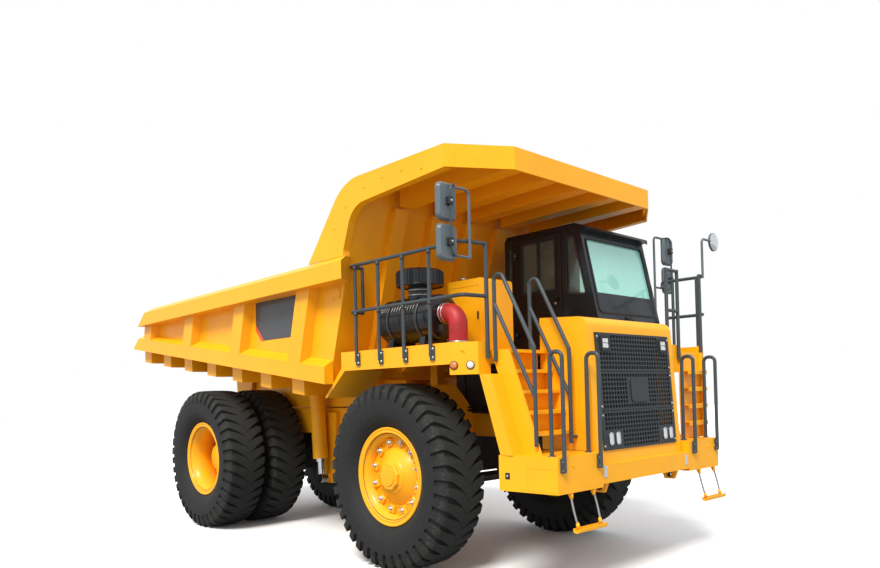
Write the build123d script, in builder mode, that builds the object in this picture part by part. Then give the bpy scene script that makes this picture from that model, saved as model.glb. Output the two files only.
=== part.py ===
"""Rigid mining dump truck of the 50 t class: frame, cab, tipping body, hoists and wheels.

Millimetres. +X is forward, +Y is the truck's left, +Z is up. The origin lies on the ground
in the middle of the truck's length and width.
"""
from build123d import *
from math import atan2, degrees, radians, tan
import os

os.makedirs("parts", exist_ok=True)

# Axles and wheels
WHEELBASE = 4120
FRONT_AXLE_X = 2060
REAR_AXLE_X = FRONT_AXLE_X - WHEELBASE
TYRE_RADIUS = 975
HUB_Z = TYRE_RADIUS
TYRE_WIDTH = 580
TREAD_WIDTH = 470
FRONT_WHEEL_Y = 1358
OUTER_DUAL_Y = 1452
INNER_DUAL_Y = 792
RIM_SEAT_RADIUS = 444.5
RIM_FLANGE_RADIUS = 520.7
RIM_WIDTH = 420
RIM_FLANGE = 20
RIM_WALL = 30
WHEEL_FACETS = 30
SHOULDER_RADIUS = 772
BEAD_RADIUS = 530
LUGS = 24
GROOVE_WIDTH = 105
SEAT_GAP = 0.3
PIN_CLEARANCE = 0.08

# Frame
RAIL_INNER_Y = 310
RAIL_OUTER_Y = 430
RAIL_TOP_Z = 1660
RAIL_BOTTOM_Z = 1300
RAIL_NOSE_TOP_Z = 1260
RAIL_NOSE_BOTTOM_Z = 975
BODY_PIVOT = (-3050, 1550)
PIVOT_EYE_RADIUS = 130
PIVOT_PIN_RADIUS = 55
BUMPER_FRONT_X = 4209
BUMPER_DEPTH = 632
BUMPER_HALF_WIDTH = 1452
BUMPER_FLARE = 48
BUMPER_TOP_Z = 1265
BUMPER_BOTTOM_Z = 946
BUMPER_BEAM_DEPTH = 180
BUMPER_BEAM_TOP_Z = 1150
HOOD_HALF_WIDTH = 765

# Steering
KINGPIN_Y = 860
KINGPIN_RADIUS = 70
STRUT_RADIUS = 110
STEERING_ARM = 320

# Tipping body
WALL_OUTER_Y = 1660
WALL = 20
BAND_OUTER_Y = 1780
RAIL_CAP_OUTER_Y = 1880
FLOOR_SLOPE = tan(radians(7.35))
BODY_FRONT_X = 1170
BODY_FRONT_Z = 1975
BODY_TAIL_X = -4300
LEAN = 0.302
CANOPY_TOP_Z = 4145
CANOPY_LIP = 218
CANOPY_FRONT_X = 3580
CANOPY_CORNER_X = 3212
CANOPY_HALF_WIDTH = 1750
CANOPY_FRONT_HALF_WIDTH = 1177
RIB_WIDTH = 290
RIB_PITCH = 1500
BEAM_PITCH = 753
BEAM_WIDTH = 260
BEAM_DROP = 200

# Hoist cylinders
HOIST_Y = 620
HOIST_TOP = (-700, 2150)
HOIST_FOOT = (-590, 700)

# Decks and cab
DECK_FLOOR_Z = 2230
DECK_EDGE_Z = 2310
DECK_HALF_WIDTH = 1660
DECK_REAR_X = 1400
DECK_PLATE = 30
CAB_RIGHT_Y = 250
CAB_LEFT_Y = 1530
CAB_REAR_X = 2150
CAB_FRONT_X = 3480
CAB_ROOF_Z = 3700
CAB_WALL = 50
DOOR_REAR_X = 2310
DOOR_FRONT_X = 3000
DOOR_GAP = 6
TUBE_RADIUS = 19


def outline(plane, points, rounds=(), shrink=0):
    """The closed outline on a plane. Rounds lists corners as (u, v, radius)."""
    with BuildSketch(plane) as drawn:
        with BuildLine():
            Polyline(*points, close=True)
        make_face()
        for u, v, radius in rounds:
            fillet(drawn.vertices().sort_by_distance((u, v))[0], radius)
        if shrink:
            offset(amount=-shrink, mode=Mode.REPLACE)
    return drawn.sketch


def slab_y(points, y_low, y_high, mode=Mode.ADD, rounds=(), shrink=0):
    """A plate of the side-view outline (x, z) between two values of y."""
    extrude(outline(Plane.XZ.offset(-y_high), points, rounds, shrink), amount=y_high - y_low, mode=mode)


def slab_x(points, x_low, x_high, mode=Mode.ADD, rounds=()):
    """A plate of the front-view outline (y, z) between two values of x."""
    extrude(outline(Plane.YZ.offset(x_low), points, rounds), amount=x_high - x_low, mode=mode)


def slab_z(points, z_low, z_high, mode=Mode.ADD, rounds=()):
    """A plate of the plan outline (x, y) between two values of z."""
    extrude(outline(Plane.XY.offset(z_low), points, rounds), amount=z_high - z_low, mode=mode)


def taper_y(points, y_wall, depth, slope):
    """A hat section (x, z) on a wall that faces -y, narrowing outwards by a slope in degrees."""
    extrude(outline(Plane.XZ.offset(-y_wall), points), amount=depth, taper=slope)


def block(x, y, z, mode=Mode.ADD):
    """A box between the given pairs of limits."""
    with Locations((sum(x) / 2, sum(y) / 2, sum(z) / 2)):
        Box(abs(x[1] - x[0]), abs(y[1] - y[0]), abs(z[1] - z[0]), mode=mode)


def rod(start, end, radius, mode=Mode.ADD):
    """A round bar from one point to another."""
    start = Vector(*start)
    end = Vector(*end)
    with BuildSketch(Plane(origin=start, z_dir=end - start)) as disc:
        Circle(radius)
    extrude(disc.sketch, amount=(end - start).length, mode=mode)


def facet_disc(radius, y_low, y_high, centre_x, mode=Mode.ADD):
    """A disc about the hub axis whose rim is cut into the wheel's flat facets."""
    with BuildSketch(Plane(origin=(centre_x, y_high, HUB_Z), x_dir=(1, 0, 0), z_dir=(0, -1, 0))) as disc:
        RegularPolygon(radius, WHEEL_FACETS, major_radius=False, rotation=180 / WHEEL_FACETS - 90)
    extrude(disc.sketch, amount=y_high - y_low, mode=mode)


def facet_cone(y_first, radius_first, y_last, radius_last, centre_x, mode=Mode.ADD):
    """A cone frustum about the hub axis with the wheel's flat facets."""
    way = 1 if y_last > y_first else -1
    with BuildSketch(Plane(origin=(centre_x, y_first, HUB_Z), x_dir=(1, 0, 0), z_dir=(0, way, 0))) as ring:
        RegularPolygon(radius_first, WHEEL_FACETS, major_radius=False, rotation=180 / WHEEL_FACETS + 90)
    slope = degrees(atan2(radius_first - radius_last, abs(y_last - y_first)))
    extrude(ring.sketch, amount=abs(y_last - y_first), taper=slope, mode=mode)


def turned(profile, centre, way, mode=Mode.ADD):
    """A body of revolution from points (radius, distance along the axis)."""
    axis = Vector(*way)
    side = Vector(1, 0, 0) if abs(axis.X) < 0.5 else Vector(0, 1, 0)
    plane = Plane(origin=centre, x_dir=side, z_dir=side.cross(axis))
    revolve(outline(plane, profile), axis=Axis(centre, way), mode=mode)


def plate(plane, width, height, corner, thickness, taper=0):
    """A plate with rounded corners that stands on a plane."""
    with BuildSketch(plane) as drawn:
        RectangleRounded(width, height, corner)
    extrude(drawn.sketch, amount=thickness, taper=taper)


def tube(points, radius=TUBE_RADIUS, bend=90):
    """A bent round tube that follows a line of points."""
    with BuildLine() as path:
        if len(points) > 2:
            FilletPolyline(*points, radius=bend)
        else:
            Line(*points)
    with BuildSketch(Plane(origin=path.line @ 0, z_dir=path.line % 0)) as section:
        Circle(radius)
    sweep(section.sketch, path=path.line)


def floor_line(x):
    """Height of the tipping body's lower edge, which climbs towards the tail."""
    return BODY_FRONT_Z + (BODY_FRONT_X - x) * FLOOR_SLOPE


def headboard_line(z):
    """Front face of the headboard, which leans forward as it rises."""
    return BODY_FRONT_X + LEAN * (z - BODY_FRONT_Z)


def save(piece, name):
    """Label a finished piece and write it out."""
    piece.part.label = name
    export_step(piece.part, f"parts/{name}.step")


def both_sides():
    """Copy what stands on the right to the left."""
    mirror(about=Plane.XZ)


SIDES = (("right", -1), ("left", 1))

# Frame: two rails with cross members, strut arms, deck posts and hoist brackets
RAIL_STEP_X = FRONT_AXLE_X + 400
RAIL_NOSE_X = RAIL_STEP_X + 300
RAIL_END_X = BUMPER_FRONT_X - BUMPER_BEAM_DEPTH
CROSS_MEMBERS = ((-2420, 140), (-1350, 160), (-590, 160), (300, 140), (1150, 160))
with BuildPart() as frame_rails:
    px, pz = BODY_PIVOT
    rail = (
        (px, RAIL_TOP_Z),
        (RAIL_STEP_X, RAIL_TOP_Z),
        (RAIL_NOSE_X, RAIL_NOSE_TOP_Z),
        (RAIL_END_X, RAIL_NOSE_TOP_Z - 110),
        (RAIL_END_X, RAIL_NOSE_BOTTOM_Z),
        (RAIL_NOSE_X, RAIL_NOSE_BOTTOM_Z),
        (RAIL_STEP_X, RAIL_BOTTOM_Z),
        (px + 300, RAIL_BOTTOM_Z),
        (px, pz - PIVOT_EYE_RADIUS + 10),
    )
    slab_y(rail, -RAIL_OUTER_Y, -RAIL_INNER_Y)
    rod((px, -RAIL_OUTER_Y, pz), (px, -RAIL_INNER_Y, pz), PIVOT_EYE_RADIUS - 20)
    rod((px, -RAIL_OUTER_Y - 95, pz), (px, -RAIL_INNER_Y, pz), PIVOT_PIN_RADIUS)
    arm = ((-RAIL_OUTER_Y, 1320), (-RAIL_OUTER_Y, RAIL_TOP_Z), (-KINGPIN_Y + 160, 1930),
           (-KINGPIN_Y - 130, 1930), (-KINGPIN_Y - 130, 1680), (-KINGPIN_Y + 140, 1680))
    slab_x(arm, FRONT_AXLE_X - 140, FRONT_AXLE_X + 140)
    for x, size in ((1560, 120), (2250, 120)):
        block((x - size / 2, x + size / 2), (-RAIL_OUTER_Y, -RAIL_INNER_Y),
              (RAIL_TOP_Z, DECK_FLOOR_Z - DECK_PLATE))
    block((3250, 3370), (-RAIL_OUTER_Y, -RAIL_INNER_Y), (1150, DECK_FLOOR_Z - DECK_PLATE))
    fx, fz = HOIST_FOOT
    slab_y(((fx - 190, RAIL_TOP_Z - 60), (fx + 190, RAIL_TOP_Z - 60), (fx + 110, fz), (fx + 60, fz - 85),
            (fx - 60, fz - 85), (fx - 110, fz)), -RAIL_OUTER_Y - 60, -RAIL_OUTER_Y)
    rod((fx, -RAIL_OUTER_Y - 60, fz), (fx, -HOIST_Y + 52, fz), 45)
    both_sides()
    for x, size in CROSS_MEMBERS:
        block((x - size / 2, x + size / 2), (-RAIL_INNER_Y, RAIL_INNER_Y),
              (RAIL_BOTTOM_Z + 50, RAIL_TOP_Z - 40))
    rod((px, -RAIL_INNER_Y, pz), (px, RAIL_INNER_Y, pz), 90)
    block((RAIL_END_X - 160, RAIL_END_X), (-HOOD_HALF_WIDTH - 25, HOOD_HALF_WIDTH + 25),
          (RAIL_NOSE_BOTTOM_Z + 15, RAIL_NOSE_TOP_Z - 110))
    block((RAIL_STEP_X - 180, RAIL_STEP_X - 20), (-RAIL_INNER_Y, RAIL_INNER_Y), (RAIL_BOTTOM_Z - 20, 1500))
    block((RAIL_STEP_X - 150, RAIL_STEP_X - 50), (-90, 90), (830, RAIL_BOTTOM_Z - 20))
save(frame_rails, "frame_rails")

# Bumper: a side box at each end, a low beam between them and two tow lugs
with BuildPart() as bumper:
    rear_x = BUMPER_FRONT_X - BUMPER_DEPTH
    inner_y = HOOD_HALF_WIDTH + 25
    slab_z(((rear_x, -BUMPER_HALF_WIDTH - BUMPER_FLARE), (BUMPER_FRONT_X, -BUMPER_HALF_WIDTH),
            (BUMPER_FRONT_X, -inner_y), (rear_x, -inner_y)), BUMPER_BOTTOM_Z, BUMPER_TOP_Z)
    lug = ((RAIL_END_X - 60, 974), (RAIL_END_X, 975), (BUMPER_FRONT_X - 50, 975),
           (BUMPER_FRONT_X - 90, 875),
           (RAIL_END_X - 20, 875))
    slab_y(lug, -660, -620)
    rod((RAIL_END_X + 45, -670, 918), (RAIL_END_X + 45, -600, 918), 24, Mode.SUBTRACT)
    both_sides()
    block((RAIL_END_X, BUMPER_FRONT_X), (-inner_y, inner_y), (975, BUMPER_BEAM_TOP_Z))
save(bumper, "bumper")

# Hood: an open-backed shell over the radiator, with a window for the grille
HOOD_REAR_X = 3490
HOOD_TOP = ((HOOD_REAR_X, 2553), (3991, 2526), (4046, 2470))
HOOD_ROUNDS = ((3991, 2526, 90), (4046, 2470, 90))
HOOD_FOOT_X = 4135
HOOD_WALL = 25
GRILLE_HALF_WIDTH = 658
GRILLE_TOP = (4063, 2379)
GRILLE_FOOT = (4133, 1260)
with BuildPart() as hood:
    skin = HOOD_TOP + ((HOOD_FOOT_X, BUMPER_BEAM_TOP_Z), (RAIL_END_X + 5, BUMPER_BEAM_TOP_Z),
                       (RAIL_END_X + 5, BUMPER_TOP_Z), (HOOD_REAR_X, BUMPER_TOP_Z))
    slab_y(skin, -HOOD_HALF_WIDTH, HOOD_HALF_WIDTH, rounds=HOOD_ROUNDS)
    cavity = ((HOOD_REAR_X - 10, 2525), (3975, 2500), (4018, 2458), (4108, 1240), (4108, 1150),
              (HOOD_REAR_X - 10, 1150))
    slab_y(cavity, -HOOD_HALF_WIDTH + HOOD_WALL, HOOD_HALF_WIDTH - HOOD_WALL, Mode.SUBTRACT)
    block((4000, 4200), (-GRILLE_HALF_WIDTH, GRILLE_HALF_WIDTH), (GRILLE_FOOT[1], GRILLE_TOP[1]),
          Mode.SUBTRACT)
save(hood, "hood")

# Grille: three perforated panels in one slanted frame. Columns of the tables, on the grille's own plane:
# height of a panel's middle and its rows of holes; middle, width and height of a patch that stays whole
GRILLE_DEPTH = 24
HOLE_PITCH = 58
HOLE = 42
HOLE_COLUMNS = 20
SEAM = 10
SEAM_DEPTH = 6
grille_middle = ((GRILLE_TOP[0] + GRILLE_FOOT[0]) / 2, 0, (GRILLE_TOP[1] + GRILLE_FOOT[1]) / 2)
grille_run = Vector(GRILLE_TOP[0] - GRILLE_FOOT[0], 0, GRILLE_TOP[1] - GRILLE_FOOT[1])
GRILLE_HEIGHT = grille_run.length
PANEL_HEIGHT = GRILLE_HEIGHT / 3
grille_front = Plane(origin=Vector(*grille_middle) + Vector(9, 0, 0), x_dir=(0, 1, 0),
                     z_dir=Vector(0, 1, 0).cross(grille_run))
PANELS = ((PANEL_HEIGHT, 5), (0, 6), (-PANEL_HEIGHT, 5))
LAMP_HEIGHT = 1.22 * PANEL_HEIGHT
LAMP_Y = 525
FOG_LAMP_YS = (430, 545)
FOG_HEIGHT = -1.21 * PANEL_HEIGHT
PLAIN_PATCHES = (
    (0, 0, 6 * HOLE_PITCH, 4 * HOLE_PITCH),
    (-LAMP_Y, LAMP_HEIGHT, 4 * HOLE_PITCH - 8, 3 * HOLE_PITCH),
    (LAMP_Y, LAMP_HEIGHT, 4 * HOLE_PITCH - 8, 3 * HOLE_PITCH),
    (-FOG_LAMP_YS[0] - 70, FOG_HEIGHT, 5 * HOLE_PITCH, 3 * HOLE_PITCH),
    (FOG_LAMP_YS[0] + 70, FOG_HEIGHT, 5 * HOLE_PITCH, 3 * HOLE_PITCH),
)
with BuildPart() as grille:
    with BuildSketch(grille_front) as panel:
        Rectangle(2 * (GRILLE_HALF_WIDTH - SEAT_GAP), GRILLE_HEIGHT - 5)
    extrude(panel.sketch, amount=-GRILLE_DEPTH)
    with BuildSketch(grille_front) as holes:
        for height, rows in PANELS:
            with Locations((0, height)):
                with GridLocations(HOLE_PITCH, HOLE_PITCH, HOLE_COLUMNS, rows):
                    Rectangle(HOLE, HOLE)
        for across, height, width, tall in PLAIN_PATCHES:
            with Locations((across, height)):
                Rectangle(width, tall, mode=Mode.SUBTRACT)
    extrude(holes.sketch, amount=-GRILLE_DEPTH, mode=Mode.SUBTRACT)
    with BuildSketch(grille_front) as seams:
        with GridLocations(1, PANEL_HEIGHT, 1, 2):
            Rectangle(2 * GRILLE_HALF_WIDTH, SEAM)
    extrude(seams.sketch, amount=-SEAM_DEPTH, mode=Mode.SUBTRACT)
save(grille, "grille")

with BuildPart() as radiator:
    block((3780, 3960), (-590, 590), (1172, 2330))
save(radiator, "radiator")

with BuildPart() as engine_block:
    slab_x(((-200, 1020), (200, 1020), (290, 1250), (290, 1900), (180, 2120), (-180, 2120), (-290, 1900),
            (-290, 1250)),
           2520, 3240)
    block((2950, 3050), (-RAIL_INNER_Y, RAIL_INNER_Y), (1040, 1200))
save(engine_block, "engine_block")

# Transmission and drive shaft between the rails
with BuildPart() as transmission:
    slab_y(((1230, 1470), (1900, 1560), (1900, 1040), (1700, 980), (1290, 1100), (1230, 1350)), -210, 210)
    rod((1290, 0, 1250), (REAR_AXLE_X + 338, 0, HUB_Z + 60), 65)
save(transmission, "transmission")

# Rear axle: housing, spindles, drag arms and strut lugs
REAR_STRUT_X = REAR_AXLE_X - 360
REAR_STRUT_Y = 370
AXLE_TUBE_END_Y = 470
REAR_SPINDLE_RADIUS = 110
with BuildPart() as rear_axle:
    rod((REAR_AXLE_X, -AXLE_TUBE_END_Y, HUB_Z), (REAR_AXLE_X, 0, HUB_Z), 160)
    rod((REAR_AXLE_X, -1395, HUB_Z), (REAR_AXLE_X, -AXLE_TUBE_END_Y, HUB_Z), REAR_SPINDLE_RADIUS)
    slab_y(((REAR_AXLE_X - 470, 770), (REAR_AXLE_X, 815), (REAR_AXLE_X, 1000), (REAR_STRUT_X + 60, 884),
            (REAR_AXLE_X - 470, 884)),
           -REAR_STRUT_Y - 60, -REAR_STRUT_Y + 60)
    slab_y(((REAR_AXLE_X, 840), (REAR_AXLE_X, 1100), (-1160, 1300), (-1160, 1160)), -280, -200)
    rod((-1160, -RAIL_INNER_Y - 60, 1231.7), (-1160, 0, 1231.7), 68)
    both_sides()
    turned(((0, -360), (160, -360), (285, -190), (290, 0), (285, 190), (160, 360), (0, 360)),
           (REAR_AXLE_X, 0, HUB_Z), (0, 1, 0))
    rod((REAR_AXLE_X, 0, HUB_Z), (REAR_AXLE_X + 330, 0, HUB_Z + 60), 150)
save(rear_axle, "rear_axle")

# Suspension struts: the front pair are also the kingpins
KNUCKLE_LOW_Z = 780
KNUCKLE_TOP_Z = 1120
with BuildPart() as suspension_struts:
    rod((FRONT_AXLE_X, -KINGPIN_Y, 1200), (FRONT_AXLE_X, -KINGPIN_Y, 1680), STRUT_RADIUS)
    rod((FRONT_AXLE_X, -KINGPIN_Y, KNUCKLE_LOW_Z + 20), (FRONT_AXLE_X, -KINGPIN_Y, 1200), KINGPIN_RADIUS)
    rod((REAR_STRUT_X, -REAR_STRUT_Y, 990), (REAR_STRUT_X, -REAR_STRUT_Y, RAIL_BOTTOM_Z), 80)
    rod((REAR_STRUT_X, -REAR_STRUT_Y, 884), (REAR_STRUT_X, -REAR_STRUT_Y, 990), 50)
    both_sides()
save(suspension_struts, "suspension_struts")

# Knuckles: kingpin sleeve, spindle and two steering arms
SPINDLE_RADIUS = 90
ARM_TOP_Z = 860
ARM_EYE_Y = 800
for side, sign in SIDES:
    with BuildPart() as knuckle:
        rod((FRONT_AXLE_X, sign * KINGPIN_Y, KNUCKLE_LOW_Z),
            (FRONT_AXLE_X, sign * KINGPIN_Y, KNUCKLE_TOP_Z), 125)
        rod((FRONT_AXLE_X, sign * KINGPIN_Y, HUB_Z), (FRONT_AXLE_X, sign * 1080, HUB_Z), 120)
        rod((FRONT_AXLE_X, sign * 1080, HUB_Z), (FRONT_AXLE_X, sign * 1400, HUB_Z), SPINDLE_RADIUS)
        for direction in (-1, 1):
            slab_z(((FRONT_AXLE_X, sign * (KINGPIN_Y - 90)), (FRONT_AXLE_X, sign * (KINGPIN_Y + 90)),
                    (FRONT_AXLE_X + direction * STEERING_ARM, sign * (ARM_EYE_Y + 45)),
                    (FRONT_AXLE_X + direction * STEERING_ARM,
                     sign * (ARM_EYE_Y - 45))), ARM_TOP_Z - 60, ARM_TOP_Z)
            eye = FRONT_AXLE_X + direction * STEERING_ARM
            rod((eye, sign * ARM_EYE_Y, ARM_TOP_Z - 60), (eye, sign * ARM_EYE_Y, ARM_TOP_Z), 50)
        rod((FRONT_AXLE_X, sign * KINGPIN_Y, KNUCKLE_LOW_Z - 1),
            (FRONT_AXLE_X, sign * KINGPIN_Y, KNUCKLE_TOP_Z + 1),
            KINGPIN_RADIUS + PIN_CLEARANCE, Mode.SUBTRACT)
    save(knuckle, f"knuckle_{side}")

# Steering: the track rod behind the axle and two cylinder rods ahead of it
LINK_Z = ARM_TOP_Z + 31
STEERING_ROD_RADIUS = 30
BARREL_OUTER_Y = 520
BARREL_INNER_Y = 100
with BuildPart() as track_rod:
    eye = FRONT_AXLE_X - STEERING_ARM
    rod((eye, -ARM_EYE_Y, ARM_TOP_Z + 0.3), (eye, -ARM_EYE_Y, ARM_TOP_Z + 61), 50)
    rod((eye, -ARM_EYE_Y, LINK_Z), (eye, 0, LINK_Z), STEERING_ROD_RADIUS)
    both_sides()
save(track_rod, "track_rod")

with BuildPart() as steering_rods:
    eye = FRONT_AXLE_X + STEERING_ARM
    rod((eye, -ARM_EYE_Y, ARM_TOP_Z + 0.3), (eye, -ARM_EYE_Y, ARM_TOP_Z + 61), 50)
    rod((eye, -ARM_EYE_Y, LINK_Z), (eye, -310, LINK_Z), STEERING_ROD_RADIUS)
    both_sides()
save(steering_rods, "steering_rods")

with BuildPart() as steering_cylinders:
    barrel_x = FRONT_AXLE_X + STEERING_ARM
    rod((barrel_x, -BARREL_OUTER_Y, LINK_Z), (barrel_x, -90, LINK_Z), 55)
    rod((barrel_x, -BARREL_OUTER_Y - 1, LINK_Z), (barrel_x, -BARREL_INNER_Y, LINK_Z),
        STEERING_ROD_RADIUS + PIN_CLEARANCE, Mode.SUBTRACT)
    both_sides()
save(steering_cylinders, "steering_cylinders")


def tyre(centre_x, centre_y):
    """One tyre with lug grooves across its shoulders, cut into flat facets."""
    half = TYRE_WIDTH / 2
    tread = TREAD_WIDTH / 2
    bead = RIM_WIDTH / 2 - RIM_FLANGE - SEAT_GAP
    facet_disc(TYRE_RADIUS, centre_y - tread, centre_y + tread, centre_x)
    for way in (-1, 1):
        facet_cone(centre_y + way * tread, TYRE_RADIUS, centre_y + way * half, SHOULDER_RADIUS, centre_x)
    for way in (-1, 1):
        facet_cone(centre_y + way * half, SHOULDER_RADIUS + 4, centre_y + way * bead, BEAD_RADIUS, centre_x,
                   Mode.SUBTRACT)
    facet_disc(RIM_SEAT_RADIUS + SEAT_GAP, centre_y - half - 5, centre_y + half + 5, centre_x,
               Mode.SUBTRACT)
    for way in (-1, 1):
        with BuildPart(mode=Mode.PRIVATE) as groove:
            with BuildSketch(Plane.XZ) as section:
                with BuildLine():
                    Polyline((TYRE_RADIUS - 130, way * (half - 20)), (TYRE_RADIUS + 20, way * (tread - 80)),
                             (TYRE_RADIUS + 20, way * (half + 20)), close=True)
                make_face()
            extrude(section.sketch, amount=GROOVE_WIDTH / 2, both=True)
        with Locations(Plane(origin=(centre_x, centre_y, HUB_Z), x_dir=(1, 0, 0), z_dir=(0, 1, 0))):
            with PolarLocations(0, LUGS, start_angle=way * 90 / LUGS):
                add(groove.part, mode=Mode.SUBTRACT)


def rim(centre_x, centre_y):
    """Drum and flanges of one rim."""
    half = RIM_WIDTH / 2
    facet_disc(RIM_SEAT_RADIUS, centre_y - half, centre_y + half, centre_x)
    for way in (-1, 1):
        edge = sorted((centre_y + way * half, centre_y + way * (half - RIM_FLANGE)))
        facet_disc(RIM_FLANGE_RADIUS, edge[0], edge[1], centre_x)
    facet_disc(RIM_SEAT_RADIUS - RIM_WALL, centre_y - half, centre_y + half, centre_x, Mode.SUBTRACT)


def clamp_ring(centre_x, y, sign, radius, count, size, height):
    """A ring of tapered clamps or bolt pads on a wheel disc."""
    with BuildSketch(Plane(origin=(centre_x, y, HUB_Z), x_dir=(1, 0, 0), z_dir=(0, sign, 0))) as pads:
        with PolarLocations(radius, count, start_angle=180 / count):
            Rectangle(*size)
    extrude(pads.sketch, amount=height, taper=12)


# Front wheels. The hub profiles list points as (radius, distance from the truck's middle)
DISC_RADIUS = RIM_SEAT_RADIUS - RIM_WALL / 2
FRONT_DISC = (1400, 1430)
FRONT_CAP_Y = 1535
FRONT_HUB = ((SPINDLE_RADIUS + PIN_CLEARANCE, 1120), (200, 1120), (200, FRONT_DISC[1]),
             (310, FRONT_DISC[1]),
             (295, 1448), (175, FRONT_CAP_Y), (0, FRONT_CAP_Y), (0, 1405),
             (SPINDLE_RADIUS + PIN_CLEARANCE, 1405))
CLAMPS = 12
CLAMP_SIZE = (64, 84)
for side, sign in SIDES:
    with BuildPart() as tyre_front:
        tyre(FRONT_AXLE_X, sign * FRONT_WHEEL_Y)
    save(tyre_front, f"tyre_front_{side}")
    with BuildPart() as rim_front:
        rim(FRONT_AXLE_X, sign * FRONT_WHEEL_Y)
        low, high = sorted((sign * FRONT_DISC[0], sign * FRONT_DISC[1]))
        facet_disc(DISC_RADIUS, low, high, FRONT_AXLE_X)
        rod((FRONT_AXLE_X, low - 1, HUB_Z), (FRONT_AXLE_X, high + 1, HUB_Z), 150, Mode.SUBTRACT)
        turned(FRONT_HUB, (FRONT_AXLE_X, 0, HUB_Z), (0, sign, 0))
        clamp_ring(FRONT_AXLE_X, sign * FRONT_DISC[1], sign, 366, CLAMPS, CLAMP_SIZE, 38)
        with BuildSketch(Plane(origin=(FRONT_AXLE_X, sign * FRONT_CAP_Y, HUB_Z),
                               z_dir=(0, sign, 0))) as cap_face:
            RegularPolygon(140, 8)
        extrude(cap_face.sketch, amount=40, taper=10)
    save(rim_front, f"rim_front_{side}")

# Rear wheels: twin tyres on one hub
REAR_DISC = (1270, 1300)
REAR_HUB = ((REAR_SPINDLE_RADIUS + PIN_CLEARANCE, 520), (270, 520), (270, REAR_DISC[1]), (262, 1315),
            (205, 1400),
            (190, 1415), (190, 1450), (0, 1450), (0, 1400), (REAR_SPINDLE_RADIUS + PIN_CLEARANCE, 1400))
for side, sign in SIDES:
    with BuildPart() as tyres_rear:
        tyre(REAR_AXLE_X, sign * OUTER_DUAL_Y)
        tyre(REAR_AXLE_X, sign * INNER_DUAL_Y)
    save(tyres_rear, f"tyres_rear_{side}")
    with BuildPart() as rims_rear:
        rim(REAR_AXLE_X, sign * OUTER_DUAL_Y)
        rim(REAR_AXLE_X, sign * INNER_DUAL_Y)
        half = RIM_WIDTH / 2
        low, high = sorted((sign * (INNER_DUAL_Y + half), sign * (OUTER_DUAL_Y - half)))
        facet_disc(RIM_SEAT_RADIUS, low, high, REAR_AXLE_X)
        facet_disc(RIM_SEAT_RADIUS - RIM_WALL, low, high, REAR_AXLE_X, Mode.SUBTRACT)
        low, high = sorted((sign * REAR_DISC[0], sign * REAR_DISC[1]))
        facet_disc(DISC_RADIUS, low, high, REAR_AXLE_X)
        rod((REAR_AXLE_X, low - 1, HUB_Z), (REAR_AXLE_X, high + 1, HUB_Z), 200, Mode.SUBTRACT)
        turned(REAR_HUB, (REAR_AXLE_X, 0, HUB_Z), (0, sign, 0))
        clamp_ring(REAR_AXLE_X, sign * REAR_DISC[1], sign, 372, CLAMPS, (52, 60), 22)
    save(rims_rear, f"rims_rear_{side}")

# Tipping body: floor with cross beams, two sills, pivot ears and hoist ears
FLOOR_PLATE = 30
SILL_BOTTOM_Z = RAIL_TOP_Z + 20
EAR_INNER_Y = RAIL_OUTER_Y + 12
with BuildPart() as body_floor:
    inside = WALL_OUTER_Y - WALL
    low_front = BODY_FRONT_X - 25
    low_rear = BODY_TAIL_X + 60
    slab_y(((low_front, floor_line(low_front) + 30), (low_front, floor_line(low_front) + 60),
            (low_rear, floor_line(low_rear) + 60), (low_rear, floor_line(low_rear) + 30)), -inside, inside)
    for number in range(7):
        centre = BODY_TAIL_X + 260 + number * BEAM_PITCH
        ends = (centre - BEAM_WIDTH / 2, centre + BEAM_WIDTH / 2)
        slab_y(((ends[0], floor_line(ends[0]) + 35), (ends[1], floor_line(ends[1]) + 35),
                (ends[1], floor_line(ends[1]) - BEAM_DROP), (ends[0], floor_line(ends[0]) - BEAM_DROP)),
               -WALL_OUTER_Y + WALL, WALL_OUTER_Y - WALL)
    for way in (-1, 1):
        low, high = sorted((way * RAIL_INNER_Y, way * RAIL_OUTER_Y))
        slab_y(((1040, SILL_BOTTOM_Z), (1040, floor_line(1040) + 35), (-3600, floor_line(-3600) + 35),
                (px - 150, SILL_BOTTOM_Z + 405), (px + 250, SILL_BOTTOM_Z)), low, high)
        low, high = sorted((way * EAR_INNER_Y, way * (EAR_INNER_Y + 60)))
        slab_y(((px - PIVOT_EYE_RADIUS, pz), (px - 230, floor_line(px - 230) + 35),
                (px + 420, floor_line(px + 420) + 35), (px + 250, SILL_BOTTOM_Z + 10),
                (px + PIVOT_EYE_RADIUS, pz)), low, high)
        rod((px, way * EAR_INNER_Y, pz), (px, way * (EAR_INNER_Y + 60), pz), PIVOT_EYE_RADIUS)
        rod((px, way * (EAR_INNER_Y - 5), pz), (px, way * (EAR_INNER_Y + 70), pz),
            PIVOT_PIN_RADIUS + PIN_CLEARANCE, Mode.SUBTRACT)
        hx, hz = HOIST_TOP
        for ear in (-60, 40):
            low, high = sorted((way * (HOIST_Y + ear), way * (HOIST_Y + ear + 20)))
            slab_y(((hx - 85, hz - 30), (hx - 110, floor_line(hx - 110) + 45),
                    (hx + 110, floor_line(hx + 110) + 45),
                    (hx + 85, hz - 30), (hx + 35, hz - 58),
                    (hx - 35, hz - 58)), low, high)
        rod((hx, way * (HOIST_Y - 60), hz), (hx, way * (HOIST_Y + 60), hz), 40)
save(body_floor, "body_floor")

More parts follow.
